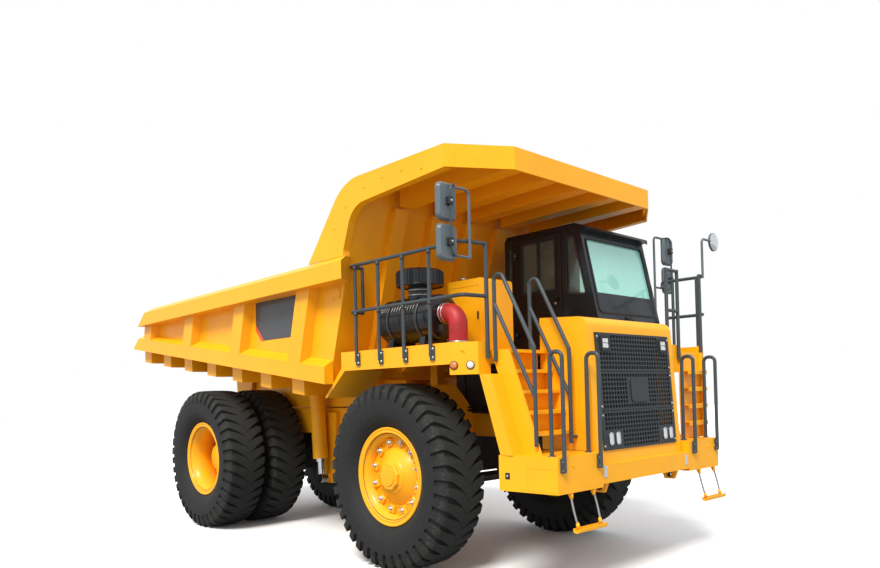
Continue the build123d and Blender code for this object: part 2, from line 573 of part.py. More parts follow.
# Body sides: wall, lower band, hat ribs and top rail, cut at the tail
RAIL_FRONT_Z = 3262
RAIL_REAR_Z = 3207
RAIL_DEPTH = 192
RAIL_FRONT_X = 1740
CAP_INNER_X = 1575
TAIL_TOP_X = BODY_TAIL_X + 760
FIRST_RIB_X = 850
RIB_SPREAD = 22
RIB_SLOPE = 14
RIB_TOP_Z = 3070


def rail_line(x):
    """Height of the top rail's outer edge."""
    return RAIL_FRONT_Z + (RAIL_REAR_Z - RAIL_FRONT_Z) * (RAIL_FRONT_X - x) / (RAIL_FRONT_X - TAIL_TOP_X)


with BuildPart() as body_sides:
    tail = BODY_TAIL_X - 100
    slab_y(((BODY_FRONT_X, floor_line(BODY_FRONT_X)), (tail, floor_line(tail)),
            (tail, rail_line(tail) + 78),
            (headboard_line(3340), rail_line(headboard_line(3340)) + 78)), -WALL_OUTER_Y, -WALL_OUTER_Y + WALL)
    band = []
    for x in (BODY_FRONT_X + 70, tail):
        z = floor_line(x)
        with BuildSketch(Plane.YZ.offset(x)) as section:
            with BuildLine():
                Polyline((-WALL_OUTER_Y, z), (-BAND_OUTER_Y, z), (-BAND_OUTER_Y, z + 190),
                         (-WALL_OUTER_Y, z + 270), close=True)
            make_face()
        band.append(section.sketch.face())
    loft(band, ruled=True)
    cap = []
    for x in (RAIL_FRONT_X, tail):
        z = rail_line(x)
        with BuildSketch(Plane.YZ.offset(x)) as section:
            with BuildLine():
                Polyline((-WALL_OUTER_Y + WALL, z - RAIL_DEPTH), (-RAIL_CAP_OUTER_Y, z - RAIL_DEPTH),
                         (-RAIL_CAP_OUTER_Y, z), (-CANOPY_HALF_WIDTH, z + 78),
                         (-WALL_OUTER_Y + WALL, z + 78),
                         close=True)
            make_face()
        cap.append(section.sketch.face())
    loft(cap, ruled=True)
    slab_z(((RAIL_FRONT_X, -RAIL_CAP_OUTER_Y), (RAIL_FRONT_X + 200, -RAIL_CAP_OUTER_Y),
            (RAIL_FRONT_X + 200, -1600),
            (CAP_INNER_X, -1600), (CAP_INNER_X, -WALL_OUTER_Y + WALL)), 3000, 3400, Mode.SUBTRACT)
    for number in range(4):
        x = FIRST_RIB_X - number * RIB_PITCH
        foot_z = floor_line(x) + 150
        foot_x = x - LEAN * (RIB_TOP_Z - foot_z)
        half = RIB_WIDTH / 2 + RIB_SPREAD
        taper_y(((foot_x - half, foot_z - 60), (foot_x + half, foot_z - 60), (x + half, RIB_TOP_Z + 30),
                 (x - half, RIB_TOP_Z + 30)), -WALL_OUTER_Y, BAND_OUTER_Y - WALL_OUTER_Y, RIB_SLOPE)
    slab_y(((BODY_TAIL_X, floor_line(BODY_TAIL_X) - 300), (BODY_TAIL_X, floor_line(BODY_TAIL_X)),
            (TAIL_TOP_X, RAIL_REAR_Z + 20), (TAIL_TOP_X, 3500), (BODY_TAIL_X - 300, 3500),
            (BODY_TAIL_X - 300, floor_line(BODY_TAIL_X) - 300)), -2000, -1500, Mode.SUBTRACT)
    both_sides()
save(body_sides, "body_sides")

# Headboard with its stiffening ribs
HEADBOARD_TOP_Z = CANOPY_TOP_Z - 40
RIB_YS = (-1100, -550, 0, 550, 1100)
STIFFENER_WIDTH = 180
STIFFENER_DEPTH = 90
STIFFENER_TOP_Z = 3900
HEADBOARD_PLATE = 25
with BuildPart() as headboard:
    wide_z = 3345
    low_z = floor_line(BODY_FRONT_X - 25) + 60
    inside = WALL_OUTER_Y - WALL
    top_x = headboard_line(HEADBOARD_TOP_Z)
    for foot_z, reach in ((low_z, inside), (wide_z, CANOPY_HALF_WIDTH - WALL)):
        slab_y(((headboard_line(foot_z) - HEADBOARD_PLATE, foot_z), (headboard_line(foot_z), foot_z),
                (top_x, HEADBOARD_TOP_Z), (top_x - HEADBOARD_PLATE, HEADBOARD_TOP_Z)), -reach, reach)
    for y in RIB_YS:
        slab_y(((headboard_line(2100), 2100), (headboard_line(2160) + STIFFENER_DEPTH, 2160),
                (headboard_line(STIFFENER_TOP_Z) + STIFFENER_DEPTH, STIFFENER_TOP_Z),
                (headboard_line(STIFFENER_TOP_Z), STIFFENER_TOP_Z)), y - STIFFENER_WIDTH / 2, y + STIFFENER_WIDTH / 2)
save(headboard, "headboard")

# Canopy over the cab: plate, hanging lip, side wings and underside ribs
WING_FOOT_X = 1602
WING_FLANGE = 90
FLANGE_FOOT_Z = 3590
WING = ((920, 3342), (1624, CANOPY_TOP_Z), (CANOPY_CORNER_X, CANOPY_TOP_Z),
        (CANOPY_CORNER_X, CANOPY_TOP_Z - CANOPY_LIP), (1779, 3852), (WING_FOOT_X, 3405),
        (WING_FOOT_X, 3342))
WING_OUTER_BEND = (1624, CANOPY_TOP_Z, 600)
WING_INNER_BEND = (1779, 3852, 300)
with BuildPart() as canopy:
    low = CANOPY_TOP_Z - CANOPY_LIP
    plate_rear = headboard_line(HEADBOARD_TOP_Z) - HEADBOARD_PLATE
    slab_z(((plate_rear, -CANOPY_HALF_WIDTH), (CANOPY_CORNER_X, -CANOPY_HALF_WIDTH),
            (CANOPY_FRONT_X, -CANOPY_FRONT_HALF_WIDTH), (CANOPY_FRONT_X, CANOPY_FRONT_HALF_WIDTH),
            (CANOPY_CORNER_X, CANOPY_HALF_WIDTH), (plate_rear, CANOPY_HALF_WIDTH)),
           HEADBOARD_TOP_Z, HEADBOARD_TOP_Z + 20)
    slab_z(((CANOPY_CORNER_X - WALL, -CANOPY_HALF_WIDTH), (CANOPY_CORNER_X, -CANOPY_HALF_WIDTH),
            (CANOPY_FRONT_X, -CANOPY_FRONT_HALF_WIDTH), (CANOPY_FRONT_X, CANOPY_FRONT_HALF_WIDTH),
            (CANOPY_CORNER_X, CANOPY_HALF_WIDTH), (CANOPY_CORNER_X - WALL, CANOPY_HALF_WIDTH),
            (CANOPY_FRONT_X - WALL, CANOPY_FRONT_HALF_WIDTH),
            (CANOPY_FRONT_X - WALL, -CANOPY_FRONT_HALF_WIDTH)),
           low, CANOPY_TOP_Z)
    for way in (-1, 1):
        outer = way * CANOPY_HALF_WIDTH
        edges = sorted((outer, way * (CANOPY_HALF_WIDTH - WING_FLANGE)))
        slab_y(WING, edges[0], edges[1], rounds=(WING_OUTER_BEND, WING_INNER_BEND))
        inset = ((headboard_line(3200) + SEAT_GAP, 3200),
                 (headboard_line(FLANGE_FOOT_Z) + SEAT_GAP, FLANGE_FOOT_Z),
                 (1766, 3868), (CANOPY_CORNER_X + WALL, low + WALL), (CANOPY_CORNER_X + WALL, 4300),
                 (700, 4300),
                 (700, 3200))
        edges = sorted((outer - way * WALL, way * (CANOPY_HALF_WIDTH - WING_FLANGE - 5)))
        slab_y(inset, edges[0], edges[1], Mode.SUBTRACT, rounds=((1766, 3868, 320),))
    for y in RIB_YS:
        start = headboard_line(HEADBOARD_TOP_Z) + STIFFENER_DEPTH
        slab_y(((start, HEADBOARD_TOP_Z), (start, STIFFENER_TOP_Z + 5), (CANOPY_FRONT_X - WALL, low + 20),
                (CANOPY_FRONT_X - WALL, HEADBOARD_TOP_Z)), y - STIFFENER_WIDTH / 2, y + STIFFENER_WIDTH / 2)
save(canopy, "canopy")

# Hoist cylinders: barrel hung from the body, a sleeve and a rod that slide out of it
hoist_top = Vector(HOIST_TOP[0], 0, HOIST_TOP[1])
hoist_foot = Vector(HOIST_FOOT[0], 0, HOIST_FOOT[1])
hoist_length = (hoist_foot - hoist_top).length
hoist_way = (hoist_foot - hoist_top).normalized()
BARREL_RADIUS = 105
SLEEVE_RADIUS = 85
ROD_RADIUS = 62
BARREL_END = hoist_length - 264
SLEEVE_END = hoist_length - 224


def hoist_point(distance, y):
    """A point on a hoist's axis, by its distance below the upper eye."""
    spot = hoist_top + hoist_way * distance
    return (spot.X, y, spot.Z)


for side, sign in SIDES:
    y = sign * HOIST_Y
    with BuildPart() as hoist_barrel:
        rod(hoist_point(78, y), hoist_point(BARREL_END, y), BARREL_RADIUS)
        rod(hoist_point(50, y), hoist_point(80, y), 37)
        rod((HOIST_TOP[0], y - 38, HOIST_TOP[1]), (HOIST_TOP[0], y + 38, HOIST_TOP[1]), 70)
        rod(hoist_point(95, y), hoist_point(BARREL_END + 1, y), SLEEVE_RADIUS + PIN_CLEARANCE,
            Mode.SUBTRACT)
        rod((HOIST_TOP[0], y - 39, HOIST_TOP[1]), (HOIST_TOP[0], y + 39, HOIST_TOP[1]),
            40 + PIN_CLEARANCE, Mode.SUBTRACT)
    save(hoist_barrel, f"hoist_barrel_{side}")
    with BuildPart() as hoist_sleeve:
        rod(hoist_point(98, y), hoist_point(SLEEVE_END, y), SLEEVE_RADIUS)
        rod(hoist_point(97, y), hoist_point(SLEEVE_END + 1, y), ROD_RADIUS + PIN_CLEARANCE, Mode.SUBTRACT)
    save(hoist_sleeve, f"hoist_sleeve_{side}")
    with BuildPart() as hoist_rod:
        rod(hoist_point(104, y), hoist_point(hoist_length - 50, y), ROD_RADIUS)
        rod((HOIST_FOOT[0], y - 50, HOIST_FOOT[1]), (HOIST_FOOT[0], y + 50, HOIST_FOOT[1]), 72)
    save(hoist_rod, f"hoist_rod_{side}")

# Decks: floor plates with folded edges
DECK_CORNER_X = 3130
DECK_FRONT_X = 3360
LEFT_DECK_FRONT_X = 3960
MUD_PLATE_FOOT = (1068, 1812)
DECK_CORNER_Y = DECK_HALF_WIDTH - 150
with BuildPart() as right_deck:
    floor_z = (DECK_FLOOR_Z - DECK_PLATE, DECK_FLOOR_Z)
    slab_z(((DECK_REAR_X, -DECK_HALF_WIDTH), (DECK_CORNER_X, -DECK_HALF_WIDTH),
            (DECK_FRONT_X, -DECK_CORNER_Y),
            (DECK_FRONT_X, -HOOD_HALF_WIDTH), (HOOD_REAR_X - 2, -HOOD_HALF_WIDTH), (HOOD_REAR_X - 2, -5),
            (DECK_REAR_X, -5)), *floor_z)
    block((DECK_REAR_X, DECK_CORNER_X), (-DECK_HALF_WIDTH, -DECK_HALF_WIDTH + WALL), (2105, DECK_EDGE_Z))
    block((DECK_REAR_X, DECK_REAR_X + WALL), (-DECK_HALF_WIDTH, -5), (2150, DECK_EDGE_Z))
    slab_z(((DECK_CORNER_X, -DECK_HALF_WIDTH), (DECK_FRONT_X, -DECK_CORNER_Y),
            (DECK_FRONT_X, -DECK_CORNER_Y + WALL), (DECK_CORNER_X,
                                                    -DECK_HALF_WIDTH + WALL)), 2005, DECK_EDGE_Z)
    block((DECK_FRONT_X - WALL, DECK_FRONT_X), (-DECK_CORNER_Y + 5, -1345), (2005, DECK_EDGE_Z))
    block((DECK_FRONT_X - WALL, DECK_FRONT_X), (-1345, -HOOD_HALF_WIDTH), (2105, DECK_FLOOR_Z))
    slab_y(((DECK_REAR_X, 2200), (DECK_REAR_X + 60, 2200), (DECK_REAR_X + 60, 2105),
            (MUD_PLATE_FOOT[0] + 40, MUD_PLATE_FOOT[1]), MUD_PLATE_FOOT, (DECK_REAR_X, 2135)),
           -DECK_HALF_WIDTH, -1120)
save(right_deck, "right_deck")

with BuildPart() as left_deck:
    slab_z(((DECK_REAR_X, 5), (HOOD_REAR_X - 2, 5), (HOOD_REAR_X - 2, HOOD_HALF_WIDTH + 2),
            (LEFT_DECK_FRONT_X, HOOD_HALF_WIDTH + 2), (LEFT_DECK_FRONT_X, DECK_HALF_WIDTH),
            (DECK_REAR_X, DECK_HALF_WIDTH)), *floor_z)
    block((DECK_REAR_X, LEFT_DECK_FRONT_X), (DECK_HALF_WIDTH - WALL, DECK_HALF_WIDTH), (2105, DECK_EDGE_Z))
    block((DECK_REAR_X, DECK_REAR_X + WALL), (5, DECK_HALF_WIDTH), (2150, DECK_EDGE_Z))
    block((LEFT_DECK_FRONT_X - WALL, LEFT_DECK_FRONT_X), (HOOD_HALF_WIDTH + 2, 1080), (2005, DECK_EDGE_Z))
    block((LEFT_DECK_FRONT_X - WALL, LEFT_DECK_FRONT_X), (1080, 1540), (2105, DECK_FLOOR_Z))
    block((LEFT_DECK_FRONT_X - WALL, LEFT_DECK_FRONT_X), (1540, DECK_HALF_WIDTH), (2005, DECK_EDGE_Z))
    slab_y(((DECK_REAR_X, 2200), (DECK_REAR_X + 60, 2200), (DECK_REAR_X + 60, 2105),
            (MUD_PLATE_FOOT[0] + 40, MUD_PLATE_FOOT[1]), MUD_PLATE_FOOT, (DECK_REAR_X, 2135)),
           1120, DECK_HALF_WIDTH)
    slab_y(((3400, DECK_FLOOR_Z - DECK_PLATE), (3560, DECK_FLOOR_Z - DECK_PLATE), (3740, BUMPER_TOP_Z),
            (3600, BUMPER_TOP_Z)), 1340, 1480)
save(left_deck, "left_deck")

# Right stairs from the bumper to the deck
STAIR_OUTER_Y = -1340
STAIR_TREADS = 4
STAIR_HEAD = (DECK_FRONT_X + SEAT_GAP, 3580)
STAIR_FOOT = (3740, 3935)
with BuildPart() as right_stairs:
    inner_y = -HOOD_HALF_WIDTH - SEAT_GAP
    run_back = (STAIR_FOOT[0] - STAIR_HEAD[0]) / (DECK_FLOOR_Z - BUMPER_TOP_Z)
    run_front = (STAIR_FOOT[1] - STAIR_HEAD[1]) / (DECK_FLOOR_Z - BUMPER_TOP_Z)
    slab_y(((STAIR_HEAD[0], DECK_FLOOR_Z), (STAIR_HEAD[1], DECK_FLOOR_Z), (STAIR_FOOT[1], BUMPER_TOP_Z),
            (STAIR_FOOT[0], BUMPER_TOP_Z)), STAIR_OUTER_Y, STAIR_OUTER_Y + 25)
    slab_y(((DECK_FRONT_X, 2003), (3500, 2003), (3740, BUMPER_TOP_Z), (3600, BUMPER_TOP_Z)),
           -1500, STAIR_OUTER_Y)
    rise = (DECK_FLOOR_Z - BUMPER_TOP_Z) / (STAIR_TREADS + 1)
    for number in range(STAIR_TREADS + 1):
        drop = number * rise
        back = STAIR_HEAD[0] + drop * run_back
        block((back, STAIR_HEAD[1] + drop * run_front), (STAIR_OUTER_Y + 25, inner_y),
              (DECK_FLOOR_Z - drop - DECK_PLATE, DECK_FLOOR_Z - drop))
        if number:
            block((back, back + 20), (STAIR_OUTER_Y + 25, inner_y),
                  (DECK_FLOOR_Z - drop, DECK_FLOOR_Z - drop + rise - 5))
save(right_stairs, "right_stairs")

# Left ladder: two stringers, a back plate and folded treads
LADDER_YS = (1090, 1530)
LADDER_TREADS = 4
LADDER_RISE = 190
STRINGER = 24
STRINGER_DEPTH = 50
TREAD_DEPTH = 110
with BuildPart() as left_ladder:
    front = LEFT_DECK_FRONT_X
    for y in LADDER_YS:
        block((front, front + STRINGER_DEPTH), (y - STRINGER / 2, y + STRINGER / 2),
              (BUMPER_TOP_Z, DECK_FLOOR_Z))
    between = (LADDER_YS[0] + STRINGER / 2, LADDER_YS[1] - STRINGER / 2)
    block((front, front + 12), between, (BUMPER_TOP_Z, DECK_FLOOR_Z))
    for number in range(LADDER_TREADS):
        z = BUMPER_TOP_Z + (number + 1) * LADDER_RISE
        slab_y(((front, z), (front + TREAD_DEPTH, z), (front + TREAD_DEPTH, z - 45),
                (front + TREAD_DEPTH - 12, z - 45),
                (front + TREAD_DEPTH - 12, z - 12), (front, z - 12)), *between)
save(left_ladder, "left_ladder")

# Railings round the decks
RAILING_TOP_Z = 3228
RAILING_MID_Z = 2735
LEFT_RAILING_TOP_Z = 3128
RAIL_POST_XS = (1709, 2103, 2497, 2891)
POST_RADIUS = 18.5
EDGE = DECK_HALF_WIDTH + TUBE_RADIUS + SEAT_GAP
RIGHT_FRONT_X = DECK_FRONT_X + TUBE_RADIUS + 1.3
LEFT_FRONT_X = LEFT_DECK_FRONT_X + TUBE_RADIUS + 1.3
RAILING_REAR_X = 1610
RAILING_TURN_Y = 1400
FOOT_BRACKET = (-14, 44)
LEFT_POST_XS = (3580, 3890)
LADDER_RAIL_Y = 1568
with BuildPart() as deck_railings:
    for x in RAIL_POST_XS:
        tube(((x, -EDGE, 2190), (x, -EDGE, RAILING_TOP_Z)), POST_RADIUS)
        block((x + FOOT_BRACKET[0], x + FOOT_BRACKET[1]), (-EDGE, -DECK_HALF_WIDTH - SEAT_GAP),
              (2150, 2290))
    for z in (RAILING_TOP_Z, RAILING_MID_Z):
        tube(((RAILING_REAR_X, -EDGE + 180, z), (RAILING_REAR_X, -EDGE, z), (3340, -EDGE, z),
              (RIGHT_FRONT_X, -RAILING_TURN_Y, z)), bend=60)
    tube(((RIGHT_FRONT_X, -RAILING_TURN_Y, 2150), (RIGHT_FRONT_X, -RAILING_TURN_Y, RAILING_TOP_Z + 12)),
         TUBE_RADIUS + 1)
    tube(((RAILING_REAR_X, -EDGE + 175, RAILING_MID_Z), (RAILING_REAR_X, -EDGE + 175, RAILING_TOP_Z)),
         POST_RADIUS)
    for x in LEFT_POST_XS:
        tube(((x, EDGE, 2190), (x, EDGE, LEFT_RAILING_TOP_Z)), POST_RADIUS)
        block((x + FOOT_BRACKET[0], x + FOOT_BRACKET[1]), (DECK_HALF_WIDTH + SEAT_GAP, EDGE), (2150, 2290))
    for z in (LEFT_RAILING_TOP_Z, LEFT_RAILING_TOP_Z - 445):
        tube(((3500, EDGE, z), (LEFT_FRONT_X, EDGE, z), (LEFT_FRONT_X, LADDER_RAIL_Y, z)), bend=60)
        tube(((LEFT_FRONT_X, 820, z), (LEFT_FRONT_X, 1055, z)))
    for y, foot in ((LADDER_RAIL_Y, 1330), (820, 2150), (1055, 2150)):
        tube(((LEFT_FRONT_X, y, foot), (LEFT_FRONT_X, y, LEFT_RAILING_TOP_Z + 12)), TUBE_RADIUS + 1)
    ladder_face = LADDER_YS[1] + STRINGER / 2 + SEAT_GAP
    for z in (1400, 2000):
        block((LEFT_FRONT_X - 15, LEFT_FRONT_X + 15), (ladder_face, LADDER_RAIL_Y), (z, z + 60))
save(deck_railings, "deck_railings")

# Handrails of the stairs and hoops on the bumper
HOOP_YS = (-1390, -855, 890, 1390)
RAIL_HEAD = (3440, 3115)
RAIL_KNEE = (3905, 2225)
HOOP_TOP_Z = 2170
HOOP_REAR_X = 4100
HOOP_FRONT_X = BUMPER_FRONT_X + 24
with BuildPart() as step_handrails:
    outer_y = STAIR_OUTER_Y - TUBE_RADIUS - SEAT_GAP
    inner_y = -HOOD_HALF_WIDTH - 85
    for y, foot in ((outer_y, 2120), (inner_y, DECK_FLOOR_Z + SEAT_GAP)):
        tube(((RAIL_HEAD[0], y, foot), (RAIL_HEAD[0], y, RAIL_HEAD[1]), (RAIL_KNEE[0], y, RAIL_KNEE[1]),
              (RAIL_KNEE[0], y, 1340)), bend=60)
        tube(((RAIL_HEAD[0], y, RAIL_HEAD[1] - 455), (RAIL_KNEE[0], y, RAIL_KNEE[1] - 445)), POST_RADIUS)
    rod((RAIL_KNEE[0], inner_y, 1400), (RAIL_KNEE[0], -HOOD_HALF_WIDTH - SEAT_GAP, 1400), 14)
    for y in HOOP_YS:
        tube(((HOOP_REAR_X, y, BUMPER_TOP_Z), (HOOP_REAR_X, y, HOOP_TOP_Z), (HOOP_FRONT_X, y, HOOP_TOP_Z),
              (HOOP_FRONT_X, y, 1140)), bend=55)
        block((BUMPER_FRONT_X + SEAT_GAP, HOOP_FRONT_X), (y - 30, y + 30), (1130, 1250))
save(step_handrails, "step_handrails")

# Hanging steps: wire ropes with a bar across
ROPE_SPREAD = 165
ROPE_RADIUS = 9
STEP_REACH = 215
with BuildPart() as hanging_steps:
    for y in (-1085, 1205):
        for way in (-1, 1):
            rod((BUMPER_FRONT_X + 50, y + way * ROPE_SPREAD, 640),
                (BUMPER_FRONT_X - 30, y + way * ROPE_SPREAD, BUMPER_BOTTOM_Z - 2.6), ROPE_RADIUS)
        slab_x(((y - STEP_REACH, 610), (y + STEP_REACH, 610), (y + STEP_REACH, 650), (y - STEP_REACH, 650)),
               BUMPER_FRONT_X + 29, 4300, rounds=((y - STEP_REACH, 610, 15), (y + STEP_REACH, 610, 15)))
save(hanging_steps, "hanging_steps")

# Cab shell: walls as thick as the posts, with windows and a doorway on the right
HINGE_ZS = (2450, 3400)
HINGE_Y = CAB_RIGHT_Y - 15
HINGE_RADIUS = 14.5
HINGE_PIN_RADIUS = 6
CAB_MIDDLE_Y = (CAB_RIGHT_Y + CAB_LEFT_Y) / 2
CAB_HALF_WIDTH = (CAB_LEFT_Y - CAB_RIGHT_Y) / 2
SCREEN_FOOT = (CAB_FRONT_X, 2610)
SCREEN_TOP = (3268, 3600)
SCREEN_SIZE = (2 * CAB_HALF_WIDTH - 150, 850)
SCREEN_CORNER = 55
PANE = 12
PANE_DEPTH = 15
DOOR = ((DOOR_REAR_X, 2296), (DOOR_FRONT_X, 2296), (DOOR_FRONT_X, 3624), (DOOR_REAR_X, 3624))
DOOR_ROUNDS = tuple((x, z, 45) for x, z in DOOR[2:])
DOOR_THICKNESS = 40
screen_run = Vector(SCREEN_TOP[0] - SCREEN_FOOT[0], 0, SCREEN_TOP[1] - SCREEN_FOOT[1])
screen_middle = ((SCREEN_FOOT[0] + SCREEN_TOP[0]) / 2, CAB_MIDDLE_Y, (SCREEN_FOOT[1] + SCREEN_TOP[1]) / 2)
screen = Plane(origin=screen_middle, x_dir=(0, 1, 0), z_dir=Vector(0, 1, 0).cross(screen_run))

# Windows in the cab's side walls. Each is an outline (x, z) with the radius of its corners
DOOR_WINDOW = ((DOOR_REAR_X + 110, 2980), (DOOR_FRONT_X - 90, 2980), (DOOR_FRONT_X - 90, 3580),
               (DOOR_REAR_X + 110, 3580))
QUARTER_WINDOW = ((3080, 2930), (3330, 2900), (3180, 3560), (3080, 3560))
REAR_WINDOW = ((2190, 3120), (2265, 3120), (2265, 3560), (2190, 3560))
LEFT_WINDOW = ((2260, 2930), (3330, 2900), (3180, 3560), (2260, 3560))
BACK_WINDOW = (980, 570)
WINDOW_CORNER = 30


def window(outline_points, y_low, y_high, mode=Mode.ADD, shrink=0):
    """A side window's opening, or the pane that fills it."""
    corners = tuple((x, z, WINDOW_CORNER) for x, z in outline_points)
    slab_y(outline_points, y_low, y_high, mode, corners, shrink)


back_window = Plane(origin=(CAB_REAR_X, CAB_MIDDLE_Y, 3235), x_dir=(0, 1, 0), z_dir=(1, 0, 0))
with BuildPart() as cab_shell:
    outer = ((CAB_REAR_X, DECK_FLOOR_Z), (CAB_FRONT_X, DECK_FLOOR_Z), SCREEN_FOOT, SCREEN_TOP, (3345, 3618),
             (3335, 3645), (3200, CAB_ROOF_Z), (CAB_REAR_X + 40, CAB_ROOF_Z), (CAB_REAR_X, CAB_ROOF_Z - 60))
    slab_y(outer, CAB_RIGHT_Y, CAB_LEFT_Y, rounds=((3200, CAB_ROOF_Z, 120),
                                                   (CAB_REAR_X, CAB_ROOF_Z - 60, 30)))
    inner = ((CAB_REAR_X + CAB_WALL, DECK_FLOOR_Z + CAB_WALL),
             (CAB_FRONT_X - CAB_WALL, DECK_FLOOR_Z + CAB_WALL),
             (CAB_FRONT_X - CAB_WALL, 2605), (3225, 3580), (3180, CAB_ROOF_Z - CAB_WALL),
             (CAB_REAR_X + CAB_WALL, CAB_ROOF_Z - CAB_WALL))
    slab_y(inner, CAB_RIGHT_Y + CAB_WALL, CAB_LEFT_Y - CAB_WALL, Mode.SUBTRACT)
    with BuildSketch(screen) as screen_hole:
        RectangleRounded(*SCREEN_SIZE, SCREEN_CORNER)
    extrude(screen_hole.sketch, amount=2 * CAB_WALL, both=True, mode=Mode.SUBTRACT)
    slab_y(((DOOR_REAR_X - DOOR_GAP, 2290), (DOOR_FRONT_X + DOOR_GAP, 2290),
            (DOOR_FRONT_X + DOOR_GAP, 3630),
            (DOOR_REAR_X - DOOR_GAP, 3630)), CAB_RIGHT_Y - 5, CAB_RIGHT_Y + CAB_WALL + 5, Mode.SUBTRACT,
           rounds=((DOOR_FRONT_X + DOOR_GAP, 3630, 48), (DOOR_REAR_X - DOOR_GAP, 3630, 48)))
    for hole in (QUARTER_WINDOW, REAR_WINDOW):
        window(hole, CAB_RIGHT_Y - 5, CAB_RIGHT_Y + CAB_WALL + 5, Mode.SUBTRACT)
    window(LEFT_WINDOW, CAB_LEFT_Y - CAB_WALL - 5, CAB_LEFT_Y + 5, Mode.SUBTRACT)
    with BuildSketch(back_window) as back_hole:
        RectangleRounded(*BACK_WINDOW, WINDOW_CORNER)
    extrude(back_hole.sketch, amount=2 * CAB_WALL - 30, both=True, mode=Mode.SUBTRACT)
    for z in HINGE_ZS:
        block((DOOR_REAR_X - 40, DOOR_REAR_X), (CAB_RIGHT_Y - 20, CAB_RIGHT_Y), (z, z + 40))
        rod((DOOR_REAR_X, HINGE_Y, z), (DOOR_REAR_X, HINGE_Y, z + 40), HINGE_RADIUS)
        rod((DOOR_REAR_X, HINGE_Y, z), (DOOR_REAR_X, HINGE_Y, z + 80), HINGE_PIN_RADIUS)
save(cab_shell, "cab_shell")

with BuildPart() as cab_glass:
    with BuildSketch(screen.offset(-PANE_DEPTH)) as screen_pane:
        RectangleRounded(SCREEN_SIZE[0] - 2 * SEAT_GAP, SCREEN_SIZE[1] - 2 * SEAT_GAP,
                         SCREEN_CORNER - SEAT_GAP)
    extrude(screen_pane.sketch, amount=-PANE)
    for hole in (QUARTER_WINDOW, REAR_WINDOW):
        window(hole, CAB_RIGHT_Y + PANE_DEPTH, CAB_RIGHT_Y + PANE_DEPTH + PANE, shrink=SEAT_GAP)
    window(LEFT_WINDOW, CAB_LEFT_Y - PANE_DEPTH - PANE, CAB_LEFT_Y - PANE_DEPTH, shrink=SEAT_GAP)
    with BuildSketch(back_window.offset(PANE_DEPTH)) as back_pane:
        RectangleRounded(BACK_WINDOW[0] - 2 * SEAT_GAP, BACK_WINDOW[1] - 2 * SEAT_GAP,
                         WINDOW_CORNER - SEAT_GAP)
    extrude(back_pane.sketch, amount=PANE)
save(cab_glass, "cab_glass")

with BuildPart() as door_right:
    slab_y(DOOR, CAB_RIGHT_Y, CAB_RIGHT_Y + DOOR_THICKNESS, rounds=DOOR_ROUNDS)
    window(DOOR_WINDOW, CAB_RIGHT_Y - 5, CAB_RIGHT_Y + DOOR_THICKNESS + 5, Mode.SUBTRACT)
    block((DOOR_FRONT_X - 130, DOOR_FRONT_X - 40), (CAB_RIGHT_Y - 30, CAB_RIGHT_Y - 18), (2860, 2885))
    for x in (DOOR_FRONT_X - 130, DOOR_FRONT_X - 52):
        block((x, x + 12), (CAB_RIGHT_Y - 20, CAB_RIGHT_Y), (2860, 2885))
    for z in HINGE_ZS:
        block((DOOR_REAR_X, DOOR_REAR_X + 40), (CAB_RIGHT_Y - 20, CAB_RIGHT_Y), (z + 40 + SEAT_GAP, z + 80))
        rod((DOOR_REAR_X, HINGE_Y, z + 40 + SEAT_GAP), (DOOR_REAR_X, HINGE_Y, z + 80), HINGE_RADIUS)
        rod((DOOR_REAR_X, HINGE_Y, z + 39), (DOOR_REAR_X, HINGE_Y, z + 81),
            HINGE_PIN_RADIUS + PIN_CLEARANCE,
            Mode.SUBTRACT)
save(door_right, "door_right")

with BuildPart() as door_glass:
    window(DOOR_WINDOW, CAB_RIGHT_Y + PANE_DEPTH - 3, CAB_RIGHT_Y + PANE_DEPTH - 3 + PANE, shrink=SEAT_GAP)
save(door_glass, "door_glass")

with BuildPart() as operator_seat:
    block((2480, 2960), (CAB_MIDDLE_Y - 240, CAB_MIDDLE_Y + 240), (2520, 2660))
    slab_y(((2380, 2600), (2520, 2664), (2440, 3300), (2340, 3300)), CAB_MIDDLE_Y - 230, CAB_MIDDLE_Y + 230)
    block((2560, 2880), (CAB_MIDDLE_Y - 150, CAB_MIDDLE_Y + 150), (DECK_FLOOR_Z + CAB_WALL, 2520))
save(operator_seat, "operator_seat")

with BuildPart() as steering_console:
    slab_y(((3180, DECK_FLOOR_Z + CAB_WALL), (3428, DECK_FLOOR_Z + CAB_WALL), (3428, 2600), (3400, 2690),
            (3250, 2760), (3180, 2700)), CAB_RIGHT_Y + 120, CAB_LEFT_Y - 80, rounds=((3250, 2760, 60),))
    rod((3230, CAB_MIDDLE_Y, 2700), (3130, CAB_MIDDLE_Y, 2880), 30)
    with BuildSketch(Plane(origin=(3130, CAB_MIDDLE_Y, 2880), z_dir=(-100, 0, 180))) as wheel_outline:
        Circle(215)
        Circle(185, mode=Mode.SUBTRACT)
        Rectangle(380, 40)
        Rectangle(40, 380)
    extrude(wheel_outline.sketch, amount=28)
save(steering_console, "steering_console")

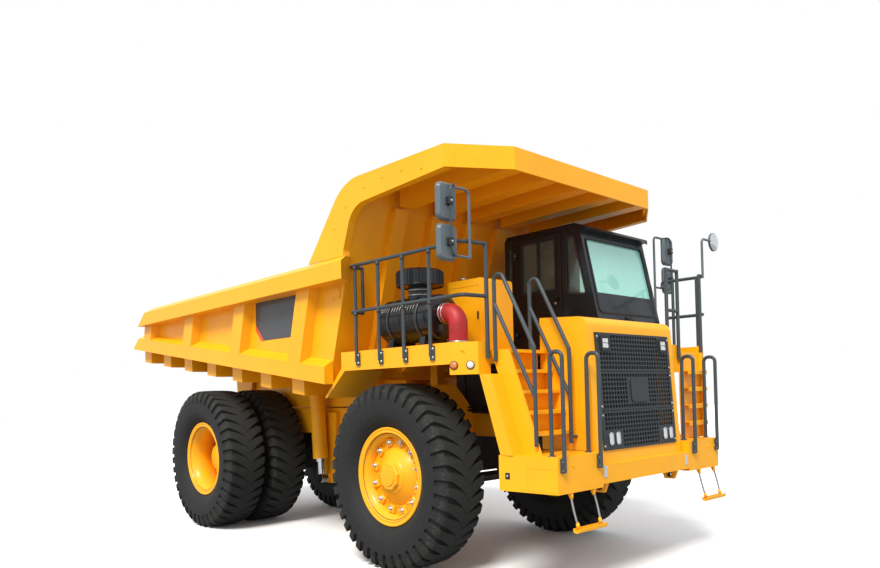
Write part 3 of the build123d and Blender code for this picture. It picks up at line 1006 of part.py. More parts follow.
# Air cleaner on the right deck, with its rain cap and outlet elbow. Profiles list (radius, distance)
CLEANER_Y = -1300
CLEANER_Z = 2610
CLEANER_REAR_X = 1850
CLEANER_LENGTH = 850
CLEANER_RADIUS = 235
NECK_X = 2330
NECK_RADIUS = 120
CAP_Z = (2960, 3125)
CAP_RADIUS = 250
STRAPS = (190, 640)
STRAP_WIDTH = 40
drum = [(0, 0), (180, 0), (225, 28), (CLEANER_RADIUS, 55)]
for start in STRAPS:
    drum += [(CLEANER_RADIUS, start), (CLEANER_RADIUS + 7, start),
             (CLEANER_RADIUS + 7, start + STRAP_WIDTH),
             (CLEANER_RADIUS, start + STRAP_WIDTH)]
drum += [(CLEANER_RADIUS, CLEANER_LENGTH - 40), (222, CLEANER_LENGTH - 14), (185, CLEANER_LENGTH),
         (0, CLEANER_LENGTH)]
with BuildPart() as air_cleaner:
    turned(drum, (CLEANER_REAR_X, CLEANER_Y, CLEANER_Z), (1, 0, 0))
    neck = ((0, 0), (NECK_RADIUS, 0), (NECK_RADIUS, 140), (NECK_RADIUS + 8, 145), (NECK_RADIUS + 8, 170),
            (NECK_RADIUS, 175), (NECK_RADIUS, 220), (0, 220))
    turned(neck, (NECK_X, CLEANER_Y, CLEANER_Z + 150), (0, 0, 1))
    with BuildSketch(Plane(origin=(NECK_X, CLEANER_Y, CAP_Z[0]))) as cap_foot:
        RegularPolygon(CAP_RADIUS, 16)
    extrude(cap_foot.sketch, amount=CAP_Z[1] - CAP_Z[0] - 20)
    with BuildSketch(Plane(origin=(NECK_X, CLEANER_Y, CAP_Z[1] - 20))) as cap_top:
        RegularPolygon(CAP_RADIUS, 16)
    extrude(cap_top.sketch, amount=20, taper=50)
    for x in (2020, 2520):
        slab_x(((CLEANER_Y - 190, DECK_FLOOR_Z), (CLEANER_Y + 190, DECK_FLOOR_Z),
                (CLEANER_Y + 130, CLEANER_Z - 130),
                (CLEANER_Y - 130, CLEANER_Z - 130)), x - 40, x + 40)
save(air_cleaner, "air_cleaner")

ELBOW_RADIUS = 95
ELBOW_BEND = 130
with BuildPart() as intake_elbow:
    elbow_x = 2910
    elbow_y = CLEANER_Y - 20
    elbow_z = CLEANER_Z + 30
    tube(((CLEANER_REAR_X + CLEANER_LENGTH, elbow_y, elbow_z), (elbow_x, elbow_y, elbow_z),
          (elbow_x, elbow_y, DECK_FLOOR_Z)), ELBOW_RADIUS, ELBOW_BEND)
    for low in (2712, 2752):
        rod((low, elbow_y, elbow_z), (low + 16, elbow_y, elbow_z), ELBOW_RADIUS + 6)
    for low in (2290, 2330):
        rod((elbow_x, elbow_y, low), (elbow_x, elbow_y, low + 16), ELBOW_RADIUS + 6)
save(intake_elbow, "intake_elbow")

with BuildPart() as deck_cabinet:
    slab_y(((2470, DECK_FLOOR_Z), (3000, DECK_FLOOR_Z), (3000, 3000), (2470, 3000)), -1045, -600,
           rounds=((3000, 3000, 40), (2470, 3000, 40)))
save(deck_cabinet, "deck_cabinet")

# Fuel tank on the left rail, held by two straps
TANK_X = (-350, 750)
TANK_INNER_Y = RAIL_OUTER_Y + 40
TANK_OUTER_Y = 1180
with BuildPart() as fuel_tank:
    tank_ends = ((TANK_INNER_Y, 720), (TANK_OUTER_Y, 720), (TANK_OUTER_Y, 1480), (TANK_INNER_Y, 1480))
    slab_x(tank_ends, *TANK_X, rounds=tuple((y, z, 90) for y, z in tank_ends[1:3]))
    for low in (-300, 400):
        block((low, low + 100), (RAIL_OUTER_Y, TANK_INNER_Y), (1320, 1460))
save(fuel_tank, "fuel_tank")

# Mirrors: a pair of tall housings on a bracket at each side, and a round one over the left ladder
MIRROR_X = 3370
MIRROR_Y = 1905
MIRROR_WIDTH = 230
BRACKET_X = MIRROR_X + 13.6
BRACKET_Y = 1610
MIRROR_HEIGHTS = ((3366, 3710), (3010, 3340))
BRACKET_Z = (3060, 3690)
ROUND_MIRROR = (3995, 1910, 3560)
with BuildPart() as mirrors:
    for way, foot in ((-1, BRACKET_Z[0]), (1, DECK_FLOOR_Z + SEAT_GAP)):
        tube(((BRACKET_X, way * BRACKET_Y, foot), (BRACKET_X, way * BRACKET_Y, BRACKET_Z[1]),
              (BRACKET_X, way * (MIRROR_Y - 75), BRACKET_Z[1])), radius=14, bend=50)
        tube(((BRACKET_X, way * BRACKET_Y, 3070), (BRACKET_X, way * (MIRROR_Y - 112), 3070)), radius=13)
        for low, high in MIRROR_HEIGHTS:
            back = Plane(origin=(MIRROR_X, way * MIRROR_Y, (low + high) / 2), x_dir=(0, 1, 0),
                         z_dir=(1, 0, 0))
            plate(back, MIRROR_WIDTH, high - low, 60, 22)
            plate(back.offset(22), MIRROR_WIDTH, high - low, 60, 23, taper=40)
    pole_x = LEFT_FRONT_X + 33.3
    tube(((pole_x, 1600, 3100), (pole_x, 1600, ROUND_MIRROR[2]), (pole_x, 1803, ROUND_MIRROR[2])),
         radius=14, bend=50)
    turned(((0, 0), (110, 0), (110, 15), (70, 36), (0, 45)), ROUND_MIRROR, (1, 0, 0))
save(mirrors, "mirrors")

# Lamps: square ones and pairs of upright ones in the grille, and round markers on the decks' front corners
SQUARE_LAMP = 100
FOG_LAMP = (58, 104)
MARKER_RADIUS = 38
LAMP_DEPTH = 14
CORNER_RUN = Vector(DECK_FRONT_X - DECK_CORNER_X, DECK_HALF_WIDTH - DECK_CORNER_Y, 0)
with BuildPart() as lamps:
    lens_face = grille_front.offset(SEAT_GAP)
    with BuildSketch(lens_face) as lens:
        for way in (-1, 1):
            with Locations((way * LAMP_Y, LAMP_HEIGHT)):
                RectangleRounded(SQUARE_LAMP, SQUARE_LAMP, 12)
            for across in FOG_LAMP_YS:
                with Locations((way * across, FOG_HEIGHT)):
                    SlotOverall(FOG_LAMP[1], FOG_LAMP[0], rotation=90)
    extrude(lens.sketch, amount=LAMP_DEPTH)
    for along in (40, 200):
        spot = Vector(DECK_CORNER_X, -DECK_HALF_WIDTH, 2092) + CORNER_RUN.normalized() * along
        out = CORNER_RUN.cross(Vector(0, 0, 1)).normalized()
        rod(spot + out * SEAT_GAP, spot + out * 18, MARKER_RADIUS)
save(lamps, "lamps")
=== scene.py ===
"""Looks of a rigid mining dump truck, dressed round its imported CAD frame.

The file is laid out as an add-on: settings in property groups, one operator for each piece
or group of pieces, one for the stage, and a panel that lists them. Metres throughout, in the
frame of the CAD: +X forward, +Y to the truck's left, +Z up, the ground at z = 0.
"""

import bpy
import numpy as np
from bpy.props import FloatProperty, FloatVectorProperty, IntProperty, PointerProperty
from mathutils import Matrix, Vector


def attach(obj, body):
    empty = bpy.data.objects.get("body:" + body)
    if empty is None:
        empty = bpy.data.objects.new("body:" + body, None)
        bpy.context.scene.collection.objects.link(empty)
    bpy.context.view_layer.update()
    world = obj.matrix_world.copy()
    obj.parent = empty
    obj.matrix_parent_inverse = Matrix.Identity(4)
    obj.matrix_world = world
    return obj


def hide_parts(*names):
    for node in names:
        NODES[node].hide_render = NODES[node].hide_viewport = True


bl_info = {
    "name": "Haul truck looks",
    "version": (1, 0, 0),
    "blender": (4, 5, 0),
    "location": "View3D > Sidebar > Haul truck",
    "description": "Dresses the packed frame of a rigid dump truck",
    "category": "Object",
}

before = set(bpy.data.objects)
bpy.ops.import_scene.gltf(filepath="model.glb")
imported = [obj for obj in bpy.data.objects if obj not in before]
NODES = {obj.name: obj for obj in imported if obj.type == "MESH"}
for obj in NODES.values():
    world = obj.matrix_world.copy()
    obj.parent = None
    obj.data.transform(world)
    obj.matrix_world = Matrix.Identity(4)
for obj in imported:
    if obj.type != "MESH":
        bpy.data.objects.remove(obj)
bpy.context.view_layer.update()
TAU = 2 * np.pi
AHEAD, LEFT, UP = (1, 0, 0), (0, 1, 0), (0, 0, 1)
SIDES = (-1, 1)
CAB_MIDDLE_Y = 0.890


class HAUL_PG_paint(bpy.types.PropertyGroup):
    """Colours of the painted and bare surfaces, scene-linear."""

    yellow: FloatVectorProperty(name="Yellow", description="Body paint", subtype="COLOR",
                                size=3, default=(0.95, 0.418, 0.006), min=0, max=1)
    black: FloatVectorProperty(name="Black", description="Cab paint", subtype="COLOR",
                               size=3, default=(0.0050, 0.0085, 0.0115), min=0, max=1)
    grey: FloatVectorProperty(name="Grey", description="Paint of rails and mirrors", subtype="COLOR",
                              size=3, default=(0.048, 0.060, 0.067), min=0, max=1)
    dust: FloatVectorProperty(name="Dust", description="Dry dust in corners and on rubber", subtype="COLOR",
                              size=3, default=(0.22, 0.19, 0.14), min=0, max=1)
    grain: FloatProperty(name="Orange peel", description="Size of the paint's fine ripple",
                         default=0.004, min=0.001, max=0.02, unit="LENGTH")


class HAUL_PG_tyre(bpy.types.PropertyGroup):
    """Tread and sidewall of the tyres."""

    lugs: IntProperty(name="Lugs", description="Shoulder lugs round one tyre", default=40, min=20, max=60)
    depth: FloatProperty(name="Groove depth", description="Depth of the grooves at the shoulder",
                         default=0.046, min=0.01, max=0.08, unit="LENGTH")
    groove: FloatProperty(name="Groove share", description="Share of a pitch that the groove takes outside",
                          default=0.46, min=0.1, max=0.8)
    sweep: FloatProperty(name="Sweep", description="Pitches by which a groove curves round inwards",
                         default=0.9, min=0, max=2)


class HAUL_PG_stage(bpy.types.PropertyGroup):
    """Camera and light."""

    eye: FloatVectorProperty(name="Eye", description="Place of the camera", subtype="TRANSLATION",
                             size=3, default=(8.058, -6.363, 1.840), unit="LENGTH")
    yaw: FloatProperty(name="Yaw", description="Heading of the view from +X", default=np.radians(135.61),
                       unit="ROTATION")
    pitch: FloatProperty(name="Pitch", description="Tilt of the view above level", default=np.radians(1.12),
                         unit="ROTATION")
    roll: FloatProperty(name="Roll", description="Turn of the picture about its middle",
                        default=np.radians(-1.38), unit="ROTATION")
    lens: FloatProperty(name="Lens", description="Focal length on a 36 mm wide picture", default=29.83,
                        min=10, max=200)
    shift_x: FloatProperty(name="Shift X", description="Sideways shift of the picture", default=-0.0218)
    shift_y: FloatProperty(name="Shift Y", description="Upward shift of the picture", default=0.1069)
    sky: FloatProperty(name="Sky", description="Strength of the soft light from all round",
                       default=1.0, min=0)
    key: FloatProperty(name="Key", description="Strength of the sun-like key light", default=3.75, min=0)


class Field:
    """A shader socket that adds, multiplies and compares like a number."""

    def __init__(self, shader, socket):
        self.shader = shader
        self.socket = socket

    def sum(self, operation, other=0.0, clamp=False):
        """One Math node on this field and another field or number."""
        settings = {"operation": operation, "use_clamp": clamp}
        return self.shader.node("ShaderNodeMath", settings, {0: self, 1: other}).field(0)

    def __add__(self, other):
        return self.sum("ADD", other)

    def __sub__(self, other):
        return self.sum("SUBTRACT", other)

    def __mul__(self, other):
        return self.sum("MULTIPLY", other)

    def __pow__(self, other):
        return self.sum("POWER", other)

    def __neg__(self):
        return self.sum("MULTIPLY", -1.0)

    def __rsub__(self, other):
        return (-self) + other

    __radd__ = __add__
    __rmul__ = __mul__

    def clamped(self):
        """The field, kept between 0 and 1."""
        return self.sum("ADD", clamp=True)

    def abs(self):
        """The field without its sign."""
        return self.sum("ABSOLUTE")

    def rise(self, start, end):
        """0 before start, 1 after end, smooth between."""
        inputs = {"Value": self, "From Min": start, "From Max": end, "To Min": 0.0, "To Max": 1.0}
        return self.shader.node("ShaderNodeMapRange", {"interpolation_type": "SMOOTHSTEP"}, inputs).field(0)

    def near(self, value, width):
        """1 at the value, falling to 0 at the width on each side."""
        return 1.0 - (self - value).abs().rise(0.0, width)


class Made:
    """A node that was made, whose outputs are taken as fields."""

    def __init__(self, shader, node):
        self.shader = shader
        self.made = node

    def field(self, key):
        """One output of the node."""
        return Field(self.shader, self.made.outputs[key])


class Shader:
    """One procedural material on a Principled shader."""

    def __init__(self, name):
        self.material = bpy.data.materials.new(name)
        self.material.use_nodes = True
        self.tree = self.material.node_tree
        self.tree.nodes.clear()
        output = self.tree.nodes.new("ShaderNodeOutputMaterial")
        self.surface = self.tree.nodes.new("ShaderNodeBsdfPrincipled")
        self.tree.links.new(self.surface.outputs[0], output.inputs[0])
        self.place = self.node("ShaderNodeTexCoord").field("Object")

    def node(self, kind, settings=None, inputs=None):
        """A node of that type: its settings first, then its sockets."""
        made = self.tree.nodes.new(kind)
        for key, value in (settings or {}).items():
            setattr(made, key, value)
        for key, value in (inputs or {}).items():
            self.feed(made.inputs[key], value)
        return Made(self, made)

    def feed(self, socket, value):
        """Link a field to a socket, or set a plain value on it."""
        if isinstance(value, Field):
            self.tree.links.new(value.socket, socket)
        elif socket.type == "RGBA":
            socket.default_value = (*tuple(value)[:3], 1.0)
        else:
            socket.default_value = value

    def axes(self):
        """The three object coordinates as fields."""
        split = self.node("ShaderNodeSeparateXYZ", inputs={0: self.place})
        return split.field(0), split.field(1), split.field(2)

    def noise(self, size, detail=2.0, roughness=0.5):
        """Noise whose features are about that size, in metres."""
        inputs = {"Vector": self.place, "Scale": 1.0 / size, "Detail": detail, "Roughness": roughness}
        return self.node("ShaderNodeTexNoise", {"noise_dimensions": "3D"}, inputs).field(0)

    def cells(self, size):
        """Distance to the nearest point of a random scatter."""
        inputs = {"Vector": self.place, "Scale": 1.0 / size}
        return self.node("ShaderNodeTexVoronoi", inputs=inputs).field("Distance")

    def blend(self, factor, first, second):
        """A colour between two colours."""
        inputs = {0: factor, 6: first, 7: second}
        return self.node("ShaderNodeMix", {"data_type": "RGBA"}, inputs).field(2)

    def relief(self, height, distance, strength):
        """A bumped normal from a height field."""
        inputs = {"Height": height, "Distance": distance, "Strength": strength}
        self.feed(self.surface.inputs["Normal"], self.node("ShaderNodeBump", {}, inputs).field(0))

    def set(self, **values):
        """Sockets of the Principled shader, with underscores for spaces."""
        for key, value in values.items():
            self.feed(self.surface.inputs[key.replace("_", " ")], value)


def tint(colour, factor):
    """A colour made lighter or darker."""
    return tuple(min(1.0, c * factor) for c in colour)


def painted(name, colour, dust, grain, gloss=0.34, coat=0.12, wear=0.5):
    """Sprayed paint: a fine ripple, slightly uneven colour and dust in faint patches."""
    shader = Shader(name)
    _, _, z = shader.axes()
    patch = shader.noise(0.55, 3.0)
    speck = shader.noise(0.035, 4.0, 0.65)
    base = shader.blend(patch.rise(0.35, 0.75), tint(colour, 0.955), tint(colour, 1.03))
    soiled = (speck.rise(0.55, 0.80) * patch.rise(0.45, 0.7) * (0.22 * wear)).clamped()
    splash = (1.0 - z.rise(0.4, 1.7)) * shader.noise(0.12, 4.0, 0.6).rise(0.42, 0.75) * (0.28 * wear)
    shader.set(Base_Color=shader.blend((soiled + splash).clamped(), base, dust))
    shader.set(Roughness=gloss + speck * 0.10 + patch * 0.05, Coat_Weight=coat, Coat_Roughness=0.12)
    shader.set(Specular_IOR_Level=0.25)
    shader.relief(shader.noise(grain, 2.0) * 0.35 + speck * 0.25, 0.0006, 0.5)
    return shader.material


def rubber(name, hub, dust):
    """Tyre rubber: worn grey tread tops, dust in the grooves, fine sidewall scuffs."""
    shader = Shader(name)
    x, _, z = shader.axes()
    radius = ((x - hub[0]) ** 2.0 + (z - hub[2]) ** 2.0) ** 0.5
    dark = (0.0055, 0.0066, 0.0062)
    worn = (0.0205, 0.0240, 0.0222)
    scuff = shader.noise(0.05, 5.0, 0.7)
    fine = shader.noise(0.006, 3.0, 0.6)
    top = radius.rise(0.955, 0.972)
    base = shader.blend((top * 0.55 + scuff.rise(0.45, 0.75) * 0.55).clamped(), dark, worn)
    dusty = radius.near(0.90, 0.07) * shader.noise(0.03, 4.0, 0.6).rise(0.40, 0.75) * 0.16
    shader.set(Base_Color=shader.blend(dusty, base, dust), Roughness=0.66 + scuff * 0.22)
    rings = (radius * 260.0).sum("SINE") * radius.near(0.60, 0.05) * 0.4
    shader.relief(fine * 0.5 + scuff * 0.6 + rings, 0.0022, 0.7)
    return shader.material


def metal(name, colour, roughness, brushed=0.35):
    """Bare steel or zinc: fine scratches and a blotchy sheen."""
    shader = Shader(name)
    scratch = shader.noise(0.004, 4.0, 0.7)
    blotch = shader.noise(0.05, 3.0)
    shader.set(Base_Color=shader.blend(blotch, tint(colour, 0.8), colour), Metallic=1.0)
    shader.set(Roughness=roughness + scratch * brushed * 0.4 + blotch * 0.1)
    shader.relief(scratch, 0.0004, 0.5)
    return shader.material


def moulded(name, colour, roughness=0.55):
    """Moulded plastic or cast rubber with a pebbled grain."""
    shader = Shader(name)
    pebble = shader.cells(0.004)
    blotch = shader.noise(0.2, 3.0)
    shader.set(Base_Color=shader.blend(blotch.rise(0.3, 0.8), tint(colour, 0.85), tint(colour, 1.2)))
    shader.set(Roughness=roughness + blotch * 0.15)
    shader.relief(pebble, 0.0006, 0.5)
    return shader.material


def woven(name, colour):
    """Seat cloth: crossed threads that catch the light."""
    shader = Shader(name)
    x, y, z = shader.axes()
    weave = (y * 2400.0).sum("SINE") * ((x + z) * 2400.0).sum("SINE")
    shader.set(Base_Color=shader.blend(weave.rise(-0.8, 0.8), tint(colour, 0.6), tint(colour, 1.4)))
    shader.set(Roughness=0.92, Sheen_Weight=0.3)
    shader.relief(weave, 0.0008, 0.6)
    return shader.material


def glazed(name, colour, screen, alpha):
    """Tinted panes. The windscreen is paler and more opaque than the side panes: a painted reflection of the
    bright sky.
    """
    shader = Shader(name)
    x, _, _ = shader.axes()
    # Ahead of the windscreen's plane the pane gets a painted reflection of the sky, as a paler colour and a
    # higher alpha
    front = x.rise(SCREEN_GLASS_X - 0.005, SCREEN_GLASS_X + 0.005)
    smear = shader.noise(0.25, 3.0).rise(0.45, 0.8)
    shader.set(Base_Color=shader.blend(front, colour, screen), Roughness=0.03 + smear * 0.05)
    shader.set(Alpha=alpha + front * 0.27 + smear * 0.05, IOR=1.52, Coat_Weight=0.6, Coat_Roughness=0.02)
    return shader.material


def lens_glass(name, colour):
    """Lamp glass over a bright reflector, with moulded flutes."""
    shader = Shader(name)
    _, y, z = shader.axes()
    flute = (y * 520.0).sum("SINE") * (z * 520.0).sum("SINE")
    shader.set(Base_Color=shader.blend(flute.rise(-0.6, 0.9), tint(colour, 0.55), colour))
    shader.set(Roughness=0.08 + flute * 0.02, Coat_Weight=0.8, Coat_Roughness=0.03)
    shader.relief(flute, 0.0015, 0.6)
    return shader.material


MATERIALS = {}


class Mesh:
    """Collects points and faces of one piece, each part with a material of its own."""

    def __init__(self):
        self.points = []
        self.faces = []
        self.marks = []
        self.smooth = []
        self.slots = []
        self.count = 0

    def add(self, points, faces, material, smooth=False):
        """Append a lump of points and faces."""
        if material not in self.slots:
            self.slots.append(material)
        points = np.asarray(points, float).reshape(-1, 3)
        mark = self.slots.index(material)
        for group in faces if isinstance(faces, list) else [faces]:
            group = np.asarray(group) + self.count
            self.faces.extend(map(tuple, group.tolist()))
            self.marks.extend([mark] * len(group))
            self.smooth.extend([smooth] * len(group))
        self.points.append(points)
        self.count += len(points)

    def grid(self, points, material, wrap_u=False, wrap_v=False, smooth=True, flip=False):
        """Quads over a grid of points, of shape (u, v, 3)."""
        nu, nv = points.shape[:2]
        count_u, count_v = nu if wrap_u else nu - 1, nv if wrap_v else nv - 1
        i, j = np.meshgrid(np.arange(count_u), np.arange(count_v), indexing="ij")
        i, j = i.ravel(), j.ravel()
        ni, nj = (i + 1) % nu, (j + 1) % nv
        faces = np.stack([i * nv + j, ni * nv + j, ni * nv + nj, i * nv + nj], 1)
        self.add(points, faces[:, ::-1] if flip else faces, material, smooth)

    def turned(self, profile, centre, axis, material, segments=96, smooth=True, phase=0.0):
        """A body of revolution. A point of the profile is (distance along the axis, radius)."""
        profile = np.asarray(profile, float)
        along, side, up = basis(axis)
        angle = phase + TAU * np.arange(segments) / segments
        ring = np.cos(angle)[:, None] * side + np.sin(angle)[:, None] * up
        points = (np.asarray(centre, float) + profile[None, :, :1] * along
                  + profile[None, :, 1:] * ring[:, None, :])
        self.grid(points, material, wrap_u=True, smooth=smooth, flip=True)

    def prism(self, outline, origin, u, v, depth, material, bevel=0.0):
        """A plate of an outline in the plane of u and v, of that depth along u x v, with chamfered rims."""
        u, v = np.asarray(u, float), np.asarray(v, float)
        normal = np.cross(u, v)
        outline = np.asarray(outline, float)
        inner = shrink(outline, bevel) if bevel else outline
        levels = ((inner, 0.0), (outline, bevel), (outline, depth - bevel), (inner, depth)) if bevel else (
            (outline, 0.0), (outline, depth))
        points = np.stack([np.asarray(origin) + flat[:, :1] * u + flat[:, 1:] * v + height * normal
                           for flat, height in levels])
        n = len(outline)
        sides = []
        for level in range(len(levels) - 1):
            a = level * n + np.arange(n)
            b = level * n + (np.arange(n) + 1) % n
            sides.append(np.stack([a, b, b + n, a + n], 1))
        top = (len(levels) - 1) * n + np.arange(n)[None, :]
        self.add(points, sides + [np.arange(n)[::-1][None, :], top], material)

    def block(self, low, high, material, bevel=0.004):
        """A box with chamfered edges."""
        low, high = np.minimum(low, high), np.maximum(low, high)
        size = high - low
        outline = [(0, 0), (size[0], 0), (size[0], size[1]), (0, size[1])]
        bevel = min(bevel, *(size * 0.3))
        outline = round_corners(outline, bevel, 1)
        self.prism(outline, low, AHEAD, LEFT, size[2], material, bevel)

    def ring(self, outer, inner, origin, u, v, depth, material):
        """A flat ring between two outlines of as many points, of that depth along u x v."""
        u, v = np.asarray(u, float), np.asarray(v, float)
        normal = np.cross(u, v)
        levels = ((outer, 0.0), (outer, depth), (inner, depth), (inner, 0.0))
        rows = [np.asarray(origin) + flat[:, :1] * u + flat[:, 1:] * v + height * normal
                for flat, height in levels]
        self.grid(np.stack(rows), material, wrap_u=True, wrap_v=True, smooth=False, flip=True)

    def perforated(self, across, up, holes, share, origin, u, v, depth, material):
        """A sheet on a lattice of lines, with a square hole in each cell that is marked.

        The corners of the lattice are shared. A hole's rim is its cell drawn in to the share about the cell's
        middle, and four walls join the front rim to the back rim.
        """
        u, v = np.asarray(u, float), np.asarray(v, float)
        nu, nv = len(across), len(up)
        lattice = np.stack(np.meshgrid(across, up, indexing="ij"), -1)
        number = np.arange(nu * nv).reshape(nu, nv)
        index = np.stack([number[:-1, :-1], number[1:, :-1], number[1:, 1:], number[:-1, 1:]], -1)
        corners = lattice.reshape(-1, 2)[index]
        middle = corners.mean(2, keepdims=True)
        rims = (middle + (corners - middle) * share)[holes]
        n, h = nu * nv, 4 * len(rims)
        flat = np.concatenate([lattice.reshape(-1, 2)] * 2 + [rims.reshape(-1, 2)] * 2)
        sink = np.concatenate([np.zeros(n), np.full(n, depth), np.zeros(h), np.full(h, depth)])
        points = np.asarray(origin) + flat[:, :1] * u + flat[:, 1:] * v - sink[:, None] * np.cross(u, v)
        plain, cell = index[~holes], index[holes]
        rim = 2 * n + np.arange(h).reshape(-1, 4)
        faces = [plain, plain[:, ::-1] + n]
        for k, m in ((0, 1), (1, 2), (2, 3), (3, 0)):
            faces.append(np.stack([cell[:, k], cell[:, m], rim[:, m], rim[:, k]], 1))
            faces.append(np.stack([cell[:, k] + n, rim[:, k] + h, rim[:, m] + h, cell[:, m] + n], 1))
            faces.append(np.stack([rim[:, k], rim[:, m], rim[:, m] + h, rim[:, k] + h], 1))
        edge = np.concatenate([number[:-1, 0], number[-1, :-1], number[:0:-1, -1], number[0, :0:-1]])
        after = np.roll(edge, -1)
        faces.append(np.stack([edge + n, after + n, after, edge], 1))
        self.add(points, faces, material)

    def nut(self, place, axis, material, radius=0.016, height=0.014, washer=True):
        """A hexagon head on a washer, with its chamfered crown."""
        if washer:
            wide = radius * 1.45
            disc = [(0, 0), (0, wide), (height * 0.18, wide), (height * 0.22, 0)]
            self.turned(disc, place, axis, material, 14, smooth=False)
        crown = [(height * 0.2, radius), (height * 0.85, radius), (height, radius * 0.82), (height, 0)]
        self.turned(crown, place, axis, material, 6, smooth=False)

    def pipe(self, points, radius, material, segments=12, closed=False):
        """A round tube along a line of points."""
        points = np.asarray(points, float)
        count = len(points)
        ahead = np.roll(points, -1, 0) - points
        if not closed:
            ahead[-1] = ahead[-2]
        behind = np.roll(ahead, 1, 0)
        if not closed:
            behind[0] = ahead[0]
        tangent = ahead / norm(ahead) + behind / norm(behind)
        tangent /= norm(tangent)
        side = np.empty_like(points)
        _, first, _ = basis(tangent[0])
        side[0] = first
        for k in range(1, count):
            turned = side[k - 1] - tangent[k] * (side[k - 1] @ tangent[k])
            side[k] = turned / np.linalg.norm(turned)
        up = np.cross(tangent, side)
        angle = TAU * np.arange(segments) / segments
        rings = (points[:, None, :] + radius * (np.cos(angle)[None, :, None] * side[:, None, :]
                                                + np.sin(angle)[None, :, None] * up[:, None, :]))
        self.grid(rings, material, wrap_u=closed, wrap_v=True, flip=True)
        if not closed:
            for ring in (rings[0], rings[-1]):
                self.add(ring, np.arange(segments)[None, :], material)

    def build(self, name, body, slot, *replaced):
        """Make the object, give it to its body, and hide the nodes that it stands for."""
        mesh = bpy.data.meshes.new(name)
        mesh.from_pydata(np.concatenate(self.points), [], self.faces)
        for material in self.slots:
            mesh.materials.append(MATERIALS[material])
        mesh.polygons.foreach_set("material_index", np.array(self.marks, np.int32))
        mesh.polygons.foreach_set("use_smooth", np.array(self.smooth, bool))
        mesh.validate()
        mesh.update()
        piece = bpy.data.objects.new(name, mesh)
        bpy.context.scene.collection.objects.link(piece)
        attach(piece, body)
        if replaced:
            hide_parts(*replaced)
        return piece


def norm(vectors):
    """Lengths of a row of vectors, kept as a column."""
    return np.maximum(np.linalg.norm(vectors, axis=-1, keepdims=True), 1e-12)


def basis(axis):
    """The axis at length one, with two directions square to it and to each other."""
    along = np.asarray(axis, float)
    along = along / np.linalg.norm(along)
    side = np.cross(UP if abs(along[2]) < 0.9 else AHEAD, along)
    side /= np.linalg.norm(side)
    return along, side, np.cross(along, side)


def shrink(outline, distance):
    """An outline moved inwards by a distance, corner by corner."""
    before = outline - np.roll(outline, 1, 0)
    after = np.roll(outline, -1, 0) - outline
    before, after = before / norm(before), after / norm(after)
    following = np.roll(outline, -1, 0)
    turn = np.sign(np.sum(outline[:, 0] * following[:, 1] - outline[:, 1] * following[:, 0]))
    first = np.stack([-before[:, 1], before[:, 0]], 1) * turn
    second = np.stack([-after[:, 1], after[:, 0]], 1) * turn
    middle = first + second
    middle /= norm(middle)
    return outline + middle * distance / np.maximum((middle * first).sum(1), 0.35)[:, None]


def rounded(before, corner, after, radius, count):
    """Points of the curve (1 - t)^2 start + 2 t (1 - t) corner + t^2 end that cuts off one corner.

    Start and end lie the radius away from the corner, or 0.45 of a side that is too short for it.
    """
    before, after = before - corner, after - corner
    a, b = np.linalg.norm(before), np.linalg.norm(after)
    reach = min(radius, 0.45 * a, 0.45 * b)
    start, end = corner + before / a * reach, corner + after / b * reach
    return [(1 - t) ** 2 * start + 2 * t * (1 - t) * corner + t ** 2 * end for t in np.linspace(0, 1, count)]


def round_corners(outline, radius, steps=4):
    """An outline with all its corners rounded."""
    outline = np.asarray(outline, float)
    found = []
    for k in range(len(outline)):
        found += rounded(outline[k - 1], outline[k], outline[(k + 1) % len(outline)], radius, steps + 1)
    return np.array(found)


def bent(points, radius, steps=6):
    """A line of points with the corners between its ends rounded."""
    points = np.asarray(points, float)
    line = [points[0]]
    for k in range(1, len(points) - 1):
        line += rounded(points[k - 1], points[k], points[k + 1], radius, steps)
    return np.array(line + [points[-1]])


HUB_Z = 0.975
FRONT_AXLE_X, REAR_AXLE_X = 2.06, -2.06
WHEELS = (
    ("front_right", FRONT_AXLE_X, (-1.358,), "wheel_front_right", "tyre_front_right", "rim_front_right"),
    ("front_left", FRONT_AXLE_X, (1.358,), "wheel_front_left", "tyre_front_left", "rim_front_left"),
    ("rear_right", REAR_AXLE_X, (-1.452, -0.792), "wheels_rear_right", "tyres_rear_right",
     "rims_rear_right"),
    ("rear_left", REAR_AXLE_X, (1.452, 0.792), "wheels_rear_left", "tyres_rear_left", "rims_rear_left"),
)
SIDEWALL = (
    (0.168, 0.4460), (0.188, 0.4480), (0.1895, 0.4700), (0.1895, 0.5150), (0.194, 0.5260), (0.206, 0.5320),
    (0.214, 0.5400), (0.232, 0.5560), (0.236, 0.5640), (0.240, 0.5660), (0.262, 0.6100), (0.265, 0.6180),
    (0.270, 0.6240), (0.283, 0.6800), (0.288, 0.7300), (0.289, 0.7700), (0.2885, 0.7950), (0.2880, 0.8000),
)
SHOULDER = (
    (0.2885, 0.8060, 0.25), (0.2880, 0.8150, 0.60), (0.2860, 0.8350, 0.85), (0.2810, 0.8650, 1.00),
    (0.2720, 0.9000, 1.00), (0.2590, 0.9360, 1.00), (0.2500, 0.9530, 1.00), (0.2420, 0.9620, 1.00),
    (0.2250, 0.9670, 0.98), (0.1950, 0.9700, 0.92), (0.1600, 0.9720, 0.82), (0.1250, 0.9735, 0.68),
    (0.0950, 0.9742, 0.50), (0.0700, 0.9746, 0.34), (0.0500, 0.9748, 0.30), (0.0300, 0.9749, 0.26),
    (0.0100, 0.9750, 0.24),
)


